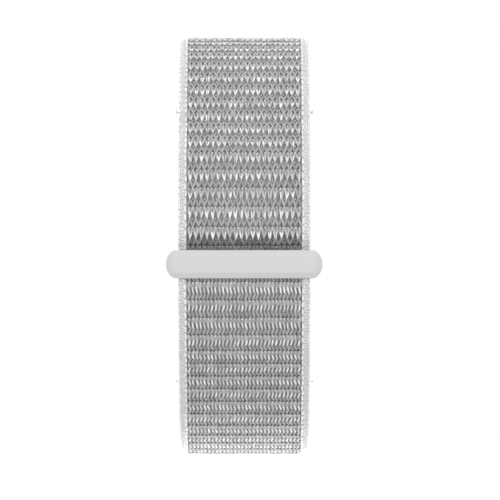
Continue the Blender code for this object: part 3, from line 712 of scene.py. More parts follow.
def yarn_material(name):
    """Twisted yarn whose shade comes from the attribute tone."""
    sheen = {"Sheen_Weight": YARN_SHEEN, "Sheen_Roughness": YARN_SHEEN_ROUGHNESS}
    material, tree, shader = base_material(name, YARN_ROUGHNESS, **sheen)
    tone = step(tree, "ShaderNodeAttribute", attribute_name="tone")["Fac"]
    fibre = separate(tree, step(tree, "ShaderNodeAttribute", attribute_name="fibre")["Vector"])
    turn = fibre["Z"].math("ARCTAN2", fibre["X"]) * TWIST_PLIES
    twist = (turn + fibre["Y"] * TWIST_TURNS).math("SINE")
    mottle = varied(noise(tree, MOTTLE_SCALE), MOTTLE_SHADE)
    # The twist also paints the grooves between the plies a little darker, as painted shade.
    coloured(tree, shader, WHITE, tone * mottle * varied(twist, PLY_GROOVE_PAINTED_SHADE))
    bumped(tree, shader, YARN_BUMP, YARN_BUMP_DEPTH, twist * 0.5 + noise(tree, FUZZ_SCALE) * 0.5)
    return material


WEAVE = yarn_material("woven_grey_polyester")
SELVEDGE = yarn_material("white_selvedge_yarn")
print("yarns:", WEAVE.name, "and", SELVEDGE.name)

# %% [markdown]
# ## The weave, layer by layer
#
# The two sides of the cloth differ, and each is written as a list of its yarns. One kind of yarn is a
# row that comes back at every rib. Its drop says how far it lies below the row of floats, and its height
# how far it stands out of the cloth. Its tone is its shade of grey, and the ground's is the darkest.

# %% Kinds of yarn
FLOAT_TONE = 0.82
THREAD_TONE = 0.43
DOT_TONE = 0.66
GROUND_TONE = 0.28


def yarn(columns, drop, tone, length, width, thickness, height, **others):
    """One kind of yarn. Its size, height above the cloth and drop below the row of floats are in mm."""
    return {
        "Columns": columns, "Drop": drop * MM, "Tone": tone, "Length": length * MM, "Width": width * MM,
        "Thickness": thickness * MM, "Height": height * MM,
        **{label.replace("_", " "): value for label, value in others.items()},
    }


print(f"tones: floats {FLOAT_TONE}, dots {DOT_TONE}, threads {THREAD_TONE}, ground {GROUND_TONE}")

# %% [markdown]
# The skin side, which the folded tail turns outwards, shows floats in pairs that lean together like a V,
# with two grey threads running down from each tip. A row of small dots, where a binding thread comes up,
# lies about two thirds of the way to the next row, with more grey thread round it. The last kind is a
# row of only ten small dots, just under the floats.

# %% The skin side
PAIR_LEAN = math.radians(7)
PAIR_FALL = math.radians(17)
PAIR_SQUEEZE = 0.52
SKIN_SIDE = [
    yarn(PAIRED_COLUMNS, 0.08, FLOAT_TONE, length=1.4, width=0.29, thickness=0.34, height=-0.02,
         Slant=-PAIR_LEAN, Squeeze=PAIR_SQUEEZE, Taper=0.35, Looseness=0.14, Tone_spread=0.3,
         Column_swap=1.0),
    yarn(PAIRED_COLUMNS, 1.3, THREAD_TONE, length=1.75, width=0.44, thickness=0.26, height=-0.20,
         Slant=PAIR_FALL, Squeeze=-0.1, Column_swap=1.0),
    yarn(SINGLE_COLUMNS, 2.2, DOT_TONE, length=0.46, width=0.38, thickness=0.32, height=-0.04),
    yarn(PAIRED_COLUMNS, 2.7, 1.15 * THREAD_TONE, length=1.35, width=0.54, thickness=0.26, height=-0.16,
         Slant=-PAIR_LEAN, Column_swap=1.0),
    yarn(PAIRED_COLUMNS // 4, 0.66, DOT_TONE, length=0.34, width=0.24, thickness=0.24, height=-0.08),
]
print("kinds of yarn on the skin side:", len(SKIN_SIDE))

# %% [markdown]
# The outer side, which the short half shows, has single floats that lean one way in one row and the other
# way in the next. The grey threads under them lean against them, so light and dark cross in a faint
# zigzag. Its dots lie at nearly the same distance below the floats as on the skin side.

# %% The outer side
LEAN = math.radians(10)
OUTER_SIDE = [
    yarn(SINGLE_COLUMNS, 0.0, FLOAT_TONE, length=1.4, width=0.37, thickness=0.38, height=-0.02,
         Slant=-LEAN, Taper=0.1, Tone_spread=0.2, Row_swap=1.0),
    yarn(SINGLE_COLUMNS, 1.2, THREAD_TONE, length=1.7, width=0.54, thickness=0.26, height=-0.22,
         Slant=2 * LEAN, Row_swap=1.0),
    yarn(SINGLE_COLUMNS, 2.1, DOT_TONE, length=0.44, width=0.40, thickness=0.32, height=-0.05),
    yarn(SINGLE_COLUMNS, 2.5, 1.1 * THREAD_TONE, length=1.5, width=0.76, thickness=0.26, height=-0.15,
         Slant=-LEAN, Row_swap=1.0),
]
print("kinds of yarn on the outer side:", len(OUTER_SIDE))

# %% [markdown]
# A side is laid by giving each of its yarns a first row, a face of the cloth and a seed of its own. The
# rows are then fitted to the piece: no row is left out at a free end, and none hangs over it. When that
# starts a pattern on another row, a slant that swaps by rows is turned round, so it still matches.

# %% Laying a side
YARN_HALF_WIDTH = BODY_HALF_WIDTH + 0.1 * MM


def laid(side, first, face, seed):
    """The layers of one side of the cloth, with a row of floats at a distance called first."""
    layers = []
    for number, kind in enumerate(side):
        layers.append((FACE_YARN, {
            **kind, "First": first - kind["Drop"], "Row pitch": RIB_PITCH,
            "Column pitch": 2 * YARN_HALF_WIDTH / kind["Columns"], "Face": face, "Seed": seed + number,
        }))
    return layers


def fitted(start, end, layers, margin=0.0):
    """The layers with the rows whose middle lies between two distances.

    The margin is a share of the yarn's length that stays clear of the end.
    """
    kept = []
    for tree, values in layers:
        shift = math.ceil((start - values["First"]) / RIB_PITCH)
        first = values["First"] + shift * RIB_PITCH
        rows = math.ceil((end - margin * values["Length"] - first) / RIB_PITCH)
        slant = values.get("Slant", 0.0)
        if shift % 2 and values.get("Row swap"):
            slant = -slant
        if rows > 0:
            kept.append((tree, {**values, "First": first, "Rows": rows, "Slant": slant}))
    return kept


def shaded(layers, share):
    """The same layers, with every tone made darker by a share."""
    return [(tree, {**values, "Tone": values["Tone"] * share}) for tree, values in layers]


print(f"columns on the skin side are {2 * YARN_HALF_WIDTH / PAIRED_COLUMNS / MM:.2f} mm apart")

# %% [markdown]
# Under the yarn of each piece lies a slab from the core tree. It stays a little below both faces of the
# cloth, so that only yarn forms the surface, and it is dark, because little light gets between the
# threads. Its faces rise and fall with the ribs.

# %% The ground under the yarn
GROUND_TOP = 0.3 * MM
GROUND_BOTTOM = 1.7 * MM
GROUND_RELIEF = 0.08 * MM
GROUND_STEP = 0.4 * MM


def ground(first, last, relief_first, top=GROUND_TOP, bottom=GROUND_BOTTOM):
    """The core slab between two depths below the outer surface."""
    return FACE_CORE, {
        "First": first, "Last": last, "Width": 2 * RIM_INNER_X, "Top": -top, "Bottom": -bottom,
        "Relief": GROUND_RELIEF, "Relief first": relief_first, "Tone": GROUND_TONE,
        "Steps across": 2, "Steps along": round((last - first) / GROUND_STEP),
    }


print(f"ground {(GROUND_BOTTOM - GROUND_TOP) / MM:.1f} mm thick in {WEBBING / MM:.1f} mm of webbing")

# %% [markdown]
# ## Selvedges
#
# The strap's two edges are woven in white. Each shows drops of yarn in four alternating columns, with
# finer threads that slant between them. Both are the same yarn tree as the faces, on the table that is
# rolled round the rim.

# %% Selvedges
EDGE_START = 0.3 * MM
RIM_STEP = 0.8 * MM
RIM_FILLING = {"Width": RIM_ROUND, "Top": -0.14 * MM, "Bottom": -0.8 * MM, "Tone": 0.65, "Steps across": 12}
DROPS = {"Columns": 4, "Column shift": 0.5, "Height": 0.0, "Tone": 0.95, "Looseness": 0.05}
SLANTING_THREADS = {
    "Column swap": 1.0, "Slant": math.radians(33), "Length": 0.66 * MM, "Width": 0.28 * MM,
    "Thickness": 0.24 * MM,
}
RIM_DROPS = {
    **DROPS, "Row pitch": 1.36 * MM, "Column pitch": 1.14 * MM, "Length": 1.3 * MM, "Width": 0.36 * MM,
    "Thickness": 0.34 * MM,
}
RIM_THREADS = {
    **SLANTING_THREADS, "Columns": 8, "Row pitch": 0.6 * MM, "Column pitch": 0.4 * MM,
    "Height": -0.12 * MM, "Tone": 0.86,
}


def along_edge(tree, kind, first, last, seed, **others):
    """One kind of yarn along an edge, in as many rows as fit."""
    rows = int((last - first) / kind["Row pitch"])
    return tree, {**kind, **others, "Rows": rows, "First": first + EDGE_START, "Seed": seed}


def selvedge(first, last, seed):
    """Both rims: the filling, the alternating drops, and the slanting threads between them."""
    layers = []
    for side in RIGHT_AND_LEFT:
        rim = {"Middle": RIM_ROUND / 2, "Face": side}
        ends = {"First": first, "Last": last, "Steps along": round((last - first) / RIM_STEP)}
        layers.append((RIM_CORE, {**RIM_FILLING, **rim, **ends}))
        layers.append(along_edge(RIM_YARN, RIM_DROPS, first, last, seed, **rim))
        layers.append(along_edge(RIM_YARN, RIM_THREADS, first, last, seed + 1, **rim))
    return layers


print("layers in a pair of selvedges:", len(selvedge(0.0, LONG_LENGTH, seed=0)))

# %% [markdown]
# ## The tail
#
# The real strap is one woven band, but it has to move with the frame's bodies, so it is cut where a cut
# can't be seen: right after a row of floats. The first piece runs from behind the ring's rod, round the
# rod and up the front, past the ring where the tail is lifted. The second goes on over the top and past
# the place where the tail's end peels off. Where the webbing goes round the rod, the picture shows it in
# shade, so its yarn is darker there.

# %% The tail's webbing
TAIL_FIRST_ROW = HINGE_PLACE - 0.3 * MM
FOLD_END = TAIL_FIRST_ROW - 0.4 * MM
FOLD_SHADE = 0.6
SEAM_ROWS = 8
SEAM_AHEAD_SHARE = 0.72
SEAM = TAIL_FIRST_ROW + (SEAM_ROWS - SEAM_AHEAD_SHARE) * RIB_PITCH
FREE_END_SHARE = 0.4
tail_front = woven("tail_front_webbing", TAIL_PATH, WEAVE, [
    *shaded([
        ground(0.0, TAIL_FIRST_ROW, TAIL_FIRST_ROW),
        *fitted(0.0, FOLD_END, laid(SKIN_SIDE, TAIL_FIRST_ROW, OUTER_FACE, seed=14)),
    ], FOLD_SHADE),
    ground(TAIL_FIRST_ROW, SEAM, TAIL_FIRST_ROW),
    *fitted(FOLD_END, SEAM, laid(SKIN_SIDE, TAIL_FIRST_ROW, OUTER_FACE, seed=10)),
    *fitted(0.0, SEAM, laid(OUTER_SIDE, TAIL_FIRST_ROW, INNER_FACE, seed=20)),
])
tail_back = woven("tail_end_webbing", TAIL_PATH, WEAVE, [
    ground(SEAM, TAIL_LENGTH, TAIL_FIRST_ROW),
    *fitted(SEAM, TAIL_LENGTH, laid(SKIN_SIDE, TAIL_FIRST_ROW, OUTER_FACE, seed=30), FREE_END_SHARE),
    *fitted(SEAM, TAIL_LENGTH, laid(OUTER_SIDE, TAIL_FIRST_ROW, INNER_FACE, seed=40), FREE_END_SHARE),
])
tail_front_rims = woven("tail_front_selvedges", TAIL_PATH, SELVEDGE, selvedge(0.0, SEAM, seed=50))
tail_back_rims = woven("tail_end_selvedges", TAIL_PATH, SELVEDGE, selvedge(SEAM, TAIL_LENGTH, seed=60))

# %% [markdown]
# ## The short half
#
# This is the band's other end, with its outer side out, so it shows the single floats. Its face ply goes
# up into the slot of the ring's bar, while its inner ply and its selvedges stop just below the bar. The
# two plies are two pieces here, each with half of the core, as they are two solids in the frame.

# %% The short half
SHORT_FIRST_ROW = SHORT_LENGTH - 3.6 * MM
SHORT_INNER_LENGTH = SHORT_LENGTH - 1.8 * MM
SHORT_RIM_LENGTH = SHORT_LENGTH - 1.5 * MM
OUTER_PLY_BOTTOM = 0.95 * MM
INNER_PLY_TOP = 1.0 * MM
short_outer = woven("short_half_outer_webbing", SHORT_PATH, WEAVE, [
    ground(0.0, SHORT_LENGTH, SHORT_FIRST_ROW, bottom=OUTER_PLY_BOTTOM),
    *fitted(0.0, SHORT_LENGTH, laid(OUTER_SIDE, SHORT_FIRST_ROW, OUTER_FACE, seed=70)),
])
short_inner = woven("short_half_inner_webbing", SHORT_PATH, WEAVE, [
    ground(0.0, SHORT_INNER_LENGTH, SHORT_FIRST_ROW, top=INNER_PLY_TOP),
    *fitted(0.0, SHORT_INNER_LENGTH, laid(SKIN_SIDE, SHORT_FIRST_ROW, INNER_FACE, seed=80), FREE_END_SHARE),
])
short_rims = woven("short_half_selvedges", SHORT_PATH, SELVEDGE, selvedge(0.0, SHORT_RIM_LENGTH, seed=90))

# %% [markdown]
# ## The long half
#
# Under the tail the long half runs from the ring's rod up to the upper spring bar. The same two lists of
# yarn serve it, with the floats in pairs on the inside, against the skin. Its whole core belongs to the
# outer piece, so the inner one is yarn alone.

# %% The long half
LONG_FIRST_ROW = 1.6 * MM
long_outer = woven("long_half_outer_webbing", LONG_PATH, WEAVE, [
    ground(0.0, LONG_LENGTH, LONG_FIRST_ROW),
    *fitted(0.0, LONG_LENGTH, laid(OUTER_SIDE, LONG_FIRST_ROW, OUTER_FACE, seed=100)),
])
long_inner_yarn = fitted(0.0, LONG_LENGTH, laid(SKIN_SIDE, LONG_FIRST_ROW, INNER_FACE, seed=110))
long_inner = woven("long_half_inner_webbing", LONG_PATH, WEAVE, long_inner_yarn)
long_rims = woven("long_half_selvedges", LONG_PATH, SELVEDGE, selvedge(0.0, LONG_LENGTH, seed=120))

# %% [markdown]
# ## Hooks
#
# The closure is two surfaces: stiff little hooks on the inner side of the tail's end, and fine loops of
# yarn that stand up from the outer side of the long half. Both are small arches of wire repeated many
# hundreds of times, so both come from the yarn tree with another shape on its points: a loop stands on
# both feet, and a hook is the same arch with one foot cut off.

# %% Arches
ARCH_POINTS = 6
ARCH_SIDES = 4
ARCH_WIRE = 0.2


def arch(tree, given):
    """A unit arch of wire in the upright plane along Y. The taper opens it into a hook."""
    values = {
        "Resolution": ARCH_POINTS, "Radius": 1.0 - ARCH_WIRE, "Start Angle": 0.0,
        "Sweep Angle": given["Taper"] * -1.0 + HALF_TURN,
    }
    line = step(tree, "GeometryNodeCurveArc", values, mode="RADIUS")["Curve"]
    values = {"Resolution": ARCH_SIDES, "Radius": ARCH_WIRE}
    wire = step(tree, "GeometryNodeCurvePrimitiveCircle", values)["Curve"]
    values = {"Curve": line, "Profile Curve": wire, "Fill Caps": True}
    tube = step(tree, "GeometryNodeCurveToMesh", values)["Mesh"]
    turn = (QUARTER_TURN, 0.0, QUARTER_TURN)
    return step(tree, "GeometryNodeTransform", {"Geometry": tube, "Rotation": turn})["Geometry"]


ARCHES = yarn_tree("arches_on_a_face", on_face, arch)
print("arch tree:", len(ARCHES.nodes), "nodes")

# %% [markdown]
# Hook tape, ring and pull tab are moulded plastic. A mould that is spark-eroded leaves a very fine, even
# grain, which takes the shine off without hiding the shape. One function makes both plastics. On the hook
# tape the attribute tone tells the pale hooks from their darker tape.

# %% Plastic
GRAIN_SCALE = 9000.0
GRAIN_BUMP = 0.12
GRAIN_DEPTH = 0.01 * MM
CLOUD_SCALE = 350.0
CLOUD_SHADE = 0.03


def plastic(name, colour, roughness, toned=False):
    """Moulded plastic with a fine spark-eroded grain. Its shade may come from the attribute tone."""
    material, tree, shader = base_material(name, roughness)
    shade = varied(noise(tree, CLOUD_SCALE), CLOUD_SHADE)
    if toned:
        shade = shade * step(tree, "ShaderNodeAttribute", attribute_name="tone")["Fac"]
    coloured(tree, shader, colour, shade)
    bumped(tree, shader, GRAIN_BUMP, GRAIN_DEPTH, noise(tree, GRAIN_SCALE))
    return material


print(f"the grain comes back about every {1 / GRAIN_SCALE / MM:.2f} mm")

# %% [markdown]
# The hook tape is a thin plate with rows of hooks on it. It lies on the inner face of the tail's end, and
# keeps a margin to the hinge and to the free end. Every other row is shifted by half a column, as on real
# tape, so that a hook stands before each gap of the row behind it.

# %% The hook patch
HOOK_PITCH = 0.75 * MM
HOOK_COLUMNS = 21
HOOK_MARGIN = 1.6 * MM
HOOK_END_MARGIN = 1.3 * MM
HOOK_PLASTIC = plastic("hook_tape_plastic", WHITE, roughness=0.6, toned=True)
HOOK_TAPE = {"Top": 0.42 * MM, "Bottom": 0.2 * MM, "Tone": 0.4, "Steps across": 1, "Steps along": 40}
HOOK = {
    "Column pitch": 0.82 * MM, "Row shift": 0.5, "Length": 0.56 * MM, "Width": 0.9 * MM,
    "Thickness": 0.62 * MM, "Height": 0.4 * MM, "Taper": 0.9, "Tone": 0.75, "Tone spread": 0.0,
    "Looseness": 0.03, "Seed": 130,
}
hook_half_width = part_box("hook_patch")[1].x
hook_first = END_HINGE_PLACE + HOOK_MARGIN
hook_last = TAIL_LENGTH - HOOK_END_MARGIN
hook_rows = int((hook_last - hook_first) / HOOK_PITCH) - 1
hooks = woven("hook_patch_with_hooks", TAIL_PATH, HOOK_PLASTIC, [
    (FACE_CORE, {
        **HOOK_TAPE, "First": hook_first, "Last": hook_last, "Width": 2 * hook_half_width, "Face": INNER_FACE,
    }),
    (ARCHES, {
        **HOOK, "Rows": hook_rows, "Columns": HOOK_COLUMNS, "First": hook_first + HOOK_PITCH,
        "Row pitch": HOOK_PITCH, "Face": INNER_FACE,
    }),
])
print(f"{hook_rows * HOOK_COLUMNS} hooks")

# %% [markdown]
# ## Loops on the long half
#
# The loops that the hooks catch are the finest yarn of the strap, raised in a soft pile from the outer
# side of the long half. Real pile has many thousands of them, thin as hair. Fewer and thicker loops give
# the same look from a step away. Rows and columns are shifted against their neighbours, and the loops
# stand loosely, or the edge of the cloth would look toothed.

# %% Loops on the long half
LOOPS_A_RIB = 3
LOOPS_START = 0.5 * MM
LOOP_COLUMNS = 36
LOOP = {
    "Row shift": 0.5, "Column shift": 0.5, "Length": 0.66 * MM, "Width": 0.55 * MM, "Thickness": 0.64 * MM,
    "Height": 0.02 * MM, "Tone": 0.75, "Tone spread": 0.15, "Looseness": 0.25, "Seed": 140,
}
LOOP_YARN = yarn_material("loop_pile_yarn")
loop_rows = int(LOOPS_A_RIB * LONG_LENGTH / RIB_PITCH)
long_loops = woven("long_half_loop_pile", LONG_PATH, LOOP_YARN, [
    (ARCHES, {
        **LOOP, "Rows": loop_rows, "Columns": LOOP_COLUMNS, "First": LOOPS_START,
        "Row pitch": RIB_PITCH / LOOPS_A_RIB, "Column pitch": 2 * BODY_HALF_WIDTH / (LOOP_COLUMNS + 0.5),
    }),
])
print(f"{loop_rows * LOOP_COLUMNS} loops")

# %% [markdown]
# ## Shapes made of rings
#
# The moulded ring, its posts, the pull tab and every turned part are made the same way: a row of closed
# outlines is joined into a skin and capped at both ends. Corners are rounded before the outlines are
# made, because on a real moulding or turned part no edge is sharp, and the round edge is what catches
# the light.

# %% Lofting
SHARP_ANGLE = math.radians(35)
MERGE_DISTANCE = 0.0005 * MM


def crisp(item):
    """Shade an object smooth, but for its sharp edges."""
    item.data.shade_smooth()
    item.data.set_sharp_from_angle(angle=SHARP_ANGLE)
    return item


def finished(name, bm):
    """An object from a bmesh: doubles merged, faces pointing outwards, smooth up to its edges."""
    bmesh.ops.remove_doubles(bm, verts=bm.verts, dist=MERGE_DISTANCE)
    bmesh.ops.recalc_face_normals(bm, faces=bm.faces)
    mesh = bpy.data.meshes.new(name)
    bm.to_mesh(mesh)
    bm.free()
    return crisp(own(bpy.data.objects.new(name, mesh)))


def loft(name, rings):
    """An object whose skin joins the rings in order. Its ends are capped."""
    bm = bmesh.new()
    rows = [[bm.verts.new(point) for point in ring] for ring in rings]
    for first, second in zip(rows, rows[1:]):
        for here in range(len(first)):
            there = (here + 1) % len(first)
            bm.faces.new((first[here], first[there], second[there], second[here]))
    bm.faces.new(rows[0])
    bm.faces.new(rows[-1])
    return finished(name, bm)


print(f"edges that turn more than {math.degrees(SHARP_ANGLE):.0f} degrees stay crisp")

# %% [markdown]
# A corner is rounded by stopping at the same distance before it and after it, and walking from one stop
# to the other on a curve that is drawn towards the corner. A turned part is a loft too. Its outlines are
# circles, one for each point of a profile that gives a radius and a place along the axis.

# %% Rounding and turning
ROUND_STEPS = 5
TURNED_SIDES = 40


def rounded(corners, radius, closed=False):
    """The corners of an outline, each one cut off and rounded."""
    corners = [Vector(corner) for corner in corners]
    points = []
    for number, corner in enumerate(corners):
        if not closed and number in (0, len(corners) - 1):
            points.append(corner)
            continue
        before = corners[number - 1]
        after = corners[(number + 1) % len(corners)]
        start = corner + (before - corner).normalized() * radius
        end = corner + (after - corner).normalized() * radius
        for count in range(ROUND_STEPS + 1):
            share = count / ROUND_STEPS
            points.append(start.lerp(corner, share).lerp(corner.lerp(end, share), share))
    return points


def turned(name, profile, place):
    """A body of revolution about X from (radius, along) points. place moves a point to where it belongs."""
    rings = []
    for radius, along in profile:
        angles = [FULL_TURN * number / TURNED_SIDES for number in range(TURNED_SIDES)]
        rings.append([place(along, radius * math.cos(angle), radius * math.sin(angle)) for angle in angles])
    return loft(name, rings)


def in_mm(points):
    """Pairs of numbers typed in millimetres, in metres."""
    return [(first * MM, second * MM) for first, second in points]


print("sides of a turned part:", TURNED_SIDES)

# %% [markdown]
# A bore, a slot or a window is cut afterwards with a Boolean modifier, and posts are joined on in the
# same way. The exact solver gives a closed mesh each time. The tool has done its work once the result is
# kept, so it is removed.

# %% Cutting, joining and painting
def combined(item, tool, operation):
    """Apply one Boolean with a tool object, and remove the tool."""
    modifier = item.modifiers.new("boolean", "BOOLEAN")
    modifier.operation = operation
    modifier.object = tool
    modifier.solver = "EXACT"
    keep_result(item)
    bpy.data.objects.remove(tool)


def painted(item, material):
    """Give a whole object one material."""
    item.data.materials.clear()
    item.data.materials.append(material)
    return item


# %% [markdown]
# ## Tunnels for the spring bars
#
# At each of its two ends the webbing is folded round a spring bar and sewn to itself. That makes a tunnel
# with a bore for the bar, and a window on the wrist side where a fingernail reaches the release knob. The
# yarn of a tunnel follows a path of its own, which is read from the solid like the other ones.

# %% Reading a tunnel
def bar_axis(word):
    """Middle of a spring bar, as a point in space."""
    low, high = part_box(word + "_bar_barrel")
    return Vector((0, (low.y + high.y) / 2, (low.z + high.z) / 2))


def wrap_line(node, axis):
    """Points round a tunnel's outer surface, from one corner of its neck to the other."""
    loop = border_of_side(node)
    far = sorted(range(len(loop)), key=lambda number: (loop[number] - axis).length)[-2:]
    start = max(far) if max(far) - min(far) == 1 else min(far)
    line = loop[start:] + loop[:start]
    middle = len(line) // 2
    along = line[middle + 1] - line[middle]
    return line if Vector((-along.y, along.x)).dot(line[middle] - axis) > 0 else line[::-1]


def drawn_in(line, inset):
    """A tunnel's outline drawn in by an inset. The neck keeps its reach."""
    points = []
    for number, point in enumerate(line):
        ends = number in (0, len(line) - 1)
        along = line[-1] - line[0] if ends else line[number + 1] - line[number - 1]
        if number == len(line) - 1:
            along = -along
        inward = along.normalized() if ends else Vector((along.y, -along.x)).normalized()
        points.append(point + inward * inset)
    return points


upper_inward = -place_on(LONG_PATH, LONG_LENGTH)[2]
lower_inward = -place_on(SHORT_PATH, 0.0)[2]
for word, way in (("upper", upper_inward), ("lower", lower_inward)):
    print(f"the {word} knob points to Y {way.y:.2f}, Z {way.z:.2f}")

# %% [markdown]
# The filling of a tunnel could be swept along the path too, but it needs a bore and a window. So it is
# lofted from the tunnel's outline, a little inside it, with round ends, and then bored and cut. The bore
# opens out at its mouths, as folded cloth does.

# %% A tunnel's filling
TUNNEL_INSET = 0.25 * MM
TUNNEL_ENDS = in_mm([(10.38, 0.5), (10.25, 0.36), (10.0, 0.25)])
SELVEDGE_START = 9.5 * MM
BORE_RADIUS = 1.05 * MM
BORE_FLARE = 0.25 * MM
FLARE_START = 9.9 * MM
FLARE_END = TUNNEL_ENDS[0][0]
WINDOW_NEAR = 5.0 * MM
WINDOW_FAR = 8.5 * MM
WINDOW_HALF_HEIGHT = 1.6 * MM
WINDOW_DEPTH = 3.0 * MM
# The filling's ends show between the folded plies at the tunnel's mouths, and their middle grey is painted
# shade of that recess.
TUNNEL_END_PAINTED_SHADE = 0.5


def tunnel_filling(word, line, inward):
    """The core of a tunnel, with its bore and its window."""
    axis = bar_axis(word)
    sections = [(-x, inset) for x, inset in TUNNEL_ENDS]
    sections += [(-SELVEDGE_START, TUNNEL_INSET), (SELVEDGE_START, TUNNEL_INSET)]
    sections += TUNNEL_ENDS[::-1]
    core = loft(word + "_core", [[(x, y, z) for y, z in drawn_in(line, inset)] for x, inset in sections])
    wide = BORE_RADIUS + BORE_FLARE
    flare = [(wide, STRAP_HALF_WIDTH), (wide, FLARE_END), (BORE_RADIUS, FLARE_START)]
    bore = [(radius, -x) for radius, x in flare] + flare[::-1]
    combined(core, turned("bore", bore, lambda x, y, z: axis + Vector((x, y, z))), "DIFFERENCE")
    side = ACROSS.cross(inward)
    corners = [(WINDOW_NEAR, -1), (WINDOW_FAR, -1), (WINDOW_FAR, 1), (WINDOW_NEAR, 1)]
    window = loft("window", [
        [axis + ACROSS * x + side * (share * WINDOW_HALF_HEIGHT) + inward * depth for x, share in corners]
        for depth in (0.0, WINDOW_DEPTH)
    ])
    combined(core, window, "DIFFERENCE")
    tone = core.data.attributes.new("tone", "FLOAT", "POINT")
    for value, corner in zip(tone.data, core.data.vertices):
        # Past the selvedge start the filling gets the painted shade of the recess between the plies.
        value.value = GROUND_TONE if abs(corner.co.x) < SELVEDGE_START else TUNNEL_END_PAINTED_SHADE
    return core


window_size = f"{(WINDOW_FAR - WINDOW_NEAR) / MM:.1f} x {2 * WINDOW_HALF_HEIGHT / MM:.1f} mm"
print(f"bore {2 * BORE_RADIUS / MM:.1f} mm wide, window {window_size}")

# %% [markdown]
# Yarn is then laid round the filling, and left out where the window is, with a little to spare on all
# sides. The folded cloth has a selvedge at both of its edges as well, thinner than the strap's, so the
# rolled table gets a smaller radius.

# %% The two tunnels
FOLDED_THICKNESS = 0.9 * MM
FOLDED_RIM_X = 9.75 * MM
FOLDED_RIM_WIDTH = 0.87 * MM
FOLDED_ROLL_RADIUS = (FOLDED_RIM_WIDTH + FOLDED_THICKNESS / 2) / 2
FOLDED_DROPS = {
    **DROPS, "Row pitch": 1.2 * MM, "Column pitch": 0.56 * MM, "Length": 1.2 * MM, "Width": 0.34 * MM,
    "Thickness": 0.3 * MM,
}
FOLDED_THREADS = {
    **SLANTING_THREADS, "Columns": 7, "Row pitch": 0.56 * MM, "Column pitch": 0.32 * MM,
    "Height": -0.1 * MM, "Tone": 0.84,
}
TUNNEL_FIRST_ROW = 1.2 * MM
SPARE_ROUND_WINDOW = 0.6 * MM
SPARE_BESIDE_WINDOW = 0.25 * MM


def round_fold(place, side):
    """Across and out of a point rolled round the edge of the webbing that is folded round a bar."""
    return round_edge(place, side, FOLDED_ROLL_RADIUS, FOLDED_RIM_X, FOLDED_RIM_WIDTH, FOLDED_THICKNESS)


FOLD_YARN = yarn_tree("yarn_round_a_fold", round_fold)


def window_gap(path, length, goal):
    """The gap in a tunnel's yarn, round the place on its path that is nearest to a point."""
    count = round(length / PATH_STEP)
    places = [place_on(path, number * PATH_STEP)[0] for number in range(count)]
    nearest = min(range(count), key=lambda number: (places[number] - goal).length) * PATH_STEP
    return {
        "Gap start": nearest - WINDOW_HALF_HEIGHT - SPARE_ROUND_WINDOW,
        "Gap end": nearest + WINDOW_HALF_HEIGHT + SPARE_ROUND_WINDOW,
        "Gap left": WINDOW_NEAR - SPARE_BESIDE_WINDOW, "Gap right": WINDOW_FAR + SPARE_BESIDE_WINDOW,
    }


def make_tunnel(word, inward, seed):
    """One tunnel with its bore and window, wrapped in yarn."""
    axis = bar_axis(word)
    line = wrap_line(word + "_tunnel", axis.yz)
    core = tunnel_filling(word, line, inward)
    path, length = make_path(word + "_tunnel_path", line)
    gap = window_gap(path, length, axis + inward * (2 * BORE_RADIUS))
    cloth = fitted(0.0, length, laid(OUTER_SIDE, TUNNEL_FIRST_ROW, OUTER_FACE, seed))
    layers = [(tree, {**values, **gap}) for tree, values in cloth]
    for side in RIGHT_AND_LEFT:
        rim = {"Middle": HALF_TURN * FOLDED_ROLL_RADIUS / 2, "Face": side}
        layers.append(along_edge(FOLD_YARN, FOLDED_DROPS, 0.0, length, seed + 8, **rim))
        layers.append(along_edge(FOLD_YARN, FOLDED_THREADS, 0.0, length, seed + 9, **rim))
    return woven(word + "_tunnel_of_webbing", path, SELVEDGE, layers, core)


upper_tunnel = make_tunnel("upper", upper_inward, seed=150)
lower_tunnel = make_tunnel("lower", lower_inward, seed=170)

# %% [markdown]
# ## Sewing
#
# The folded end is held by two rows of zigzag stitches across the strap, which a sewing machine runs
# through all plies right beside the tunnel. The thread shows on both faces. A stitch is a thin spindle
# that leans one way in one column and the other way in the next, so the yarn tree sews it too.

# %% Stitches
STITCH = {
    "Rows": 2, "Columns": 22, "Row pitch": 1.0 * MM, "Column pitch": 0.82 * MM, "Column swap": 1.0,
    "Slant": math.radians(62), "Length": 1.02 * MM, "Width": 0.2 * MM, "Thickness": 0.18 * MM,
    "Height": 0.12 * MM, "Tone": 0.9, "Looseness": 0.03,
}
UPPER_STITCHES = LONG_LENGTH - 1.9 * MM
LOWER_STITCHES = 0.9 * MM


def sewn(name, path, first, seed):
    """Two rows of zigzag stitches across the strap, on both of its faces."""
    return woven(name, path, SELVEDGE, [
        (FACE_YARN, {**STITCH, "First": first, "Face": OUTER_FACE, "Seed": seed}),
        (FACE_YARN, {**STITCH, "First": first, "Face": INNER_FACE, "Seed": seed + 1}),
    ])


upper_thread = sewn("upper_sewing_thread", LONG_PATH, UPPER_STITCHES, seed=190)
lower_thread = sewn("lower_sewing_thread", SHORT_PATH, LOWER_STITCHES, seed=192)

# %% [markdown]
# ## Quick-release spring bars
#
# Each bar is a steel tube with a fixed tip at one end and a sliding tip at the other. A coil spring
# inside pushes the sliding tip out, and a small knob on its shaft comes through a slot in the tube and
# through the tunnel's window. All of it is turned on a lathe, so every piece is a profile spun round its
# axis, every edge has a small chamfer, and the tube is crimped near its ends. Each pair in a profile is
# a radius and a place along the axis.

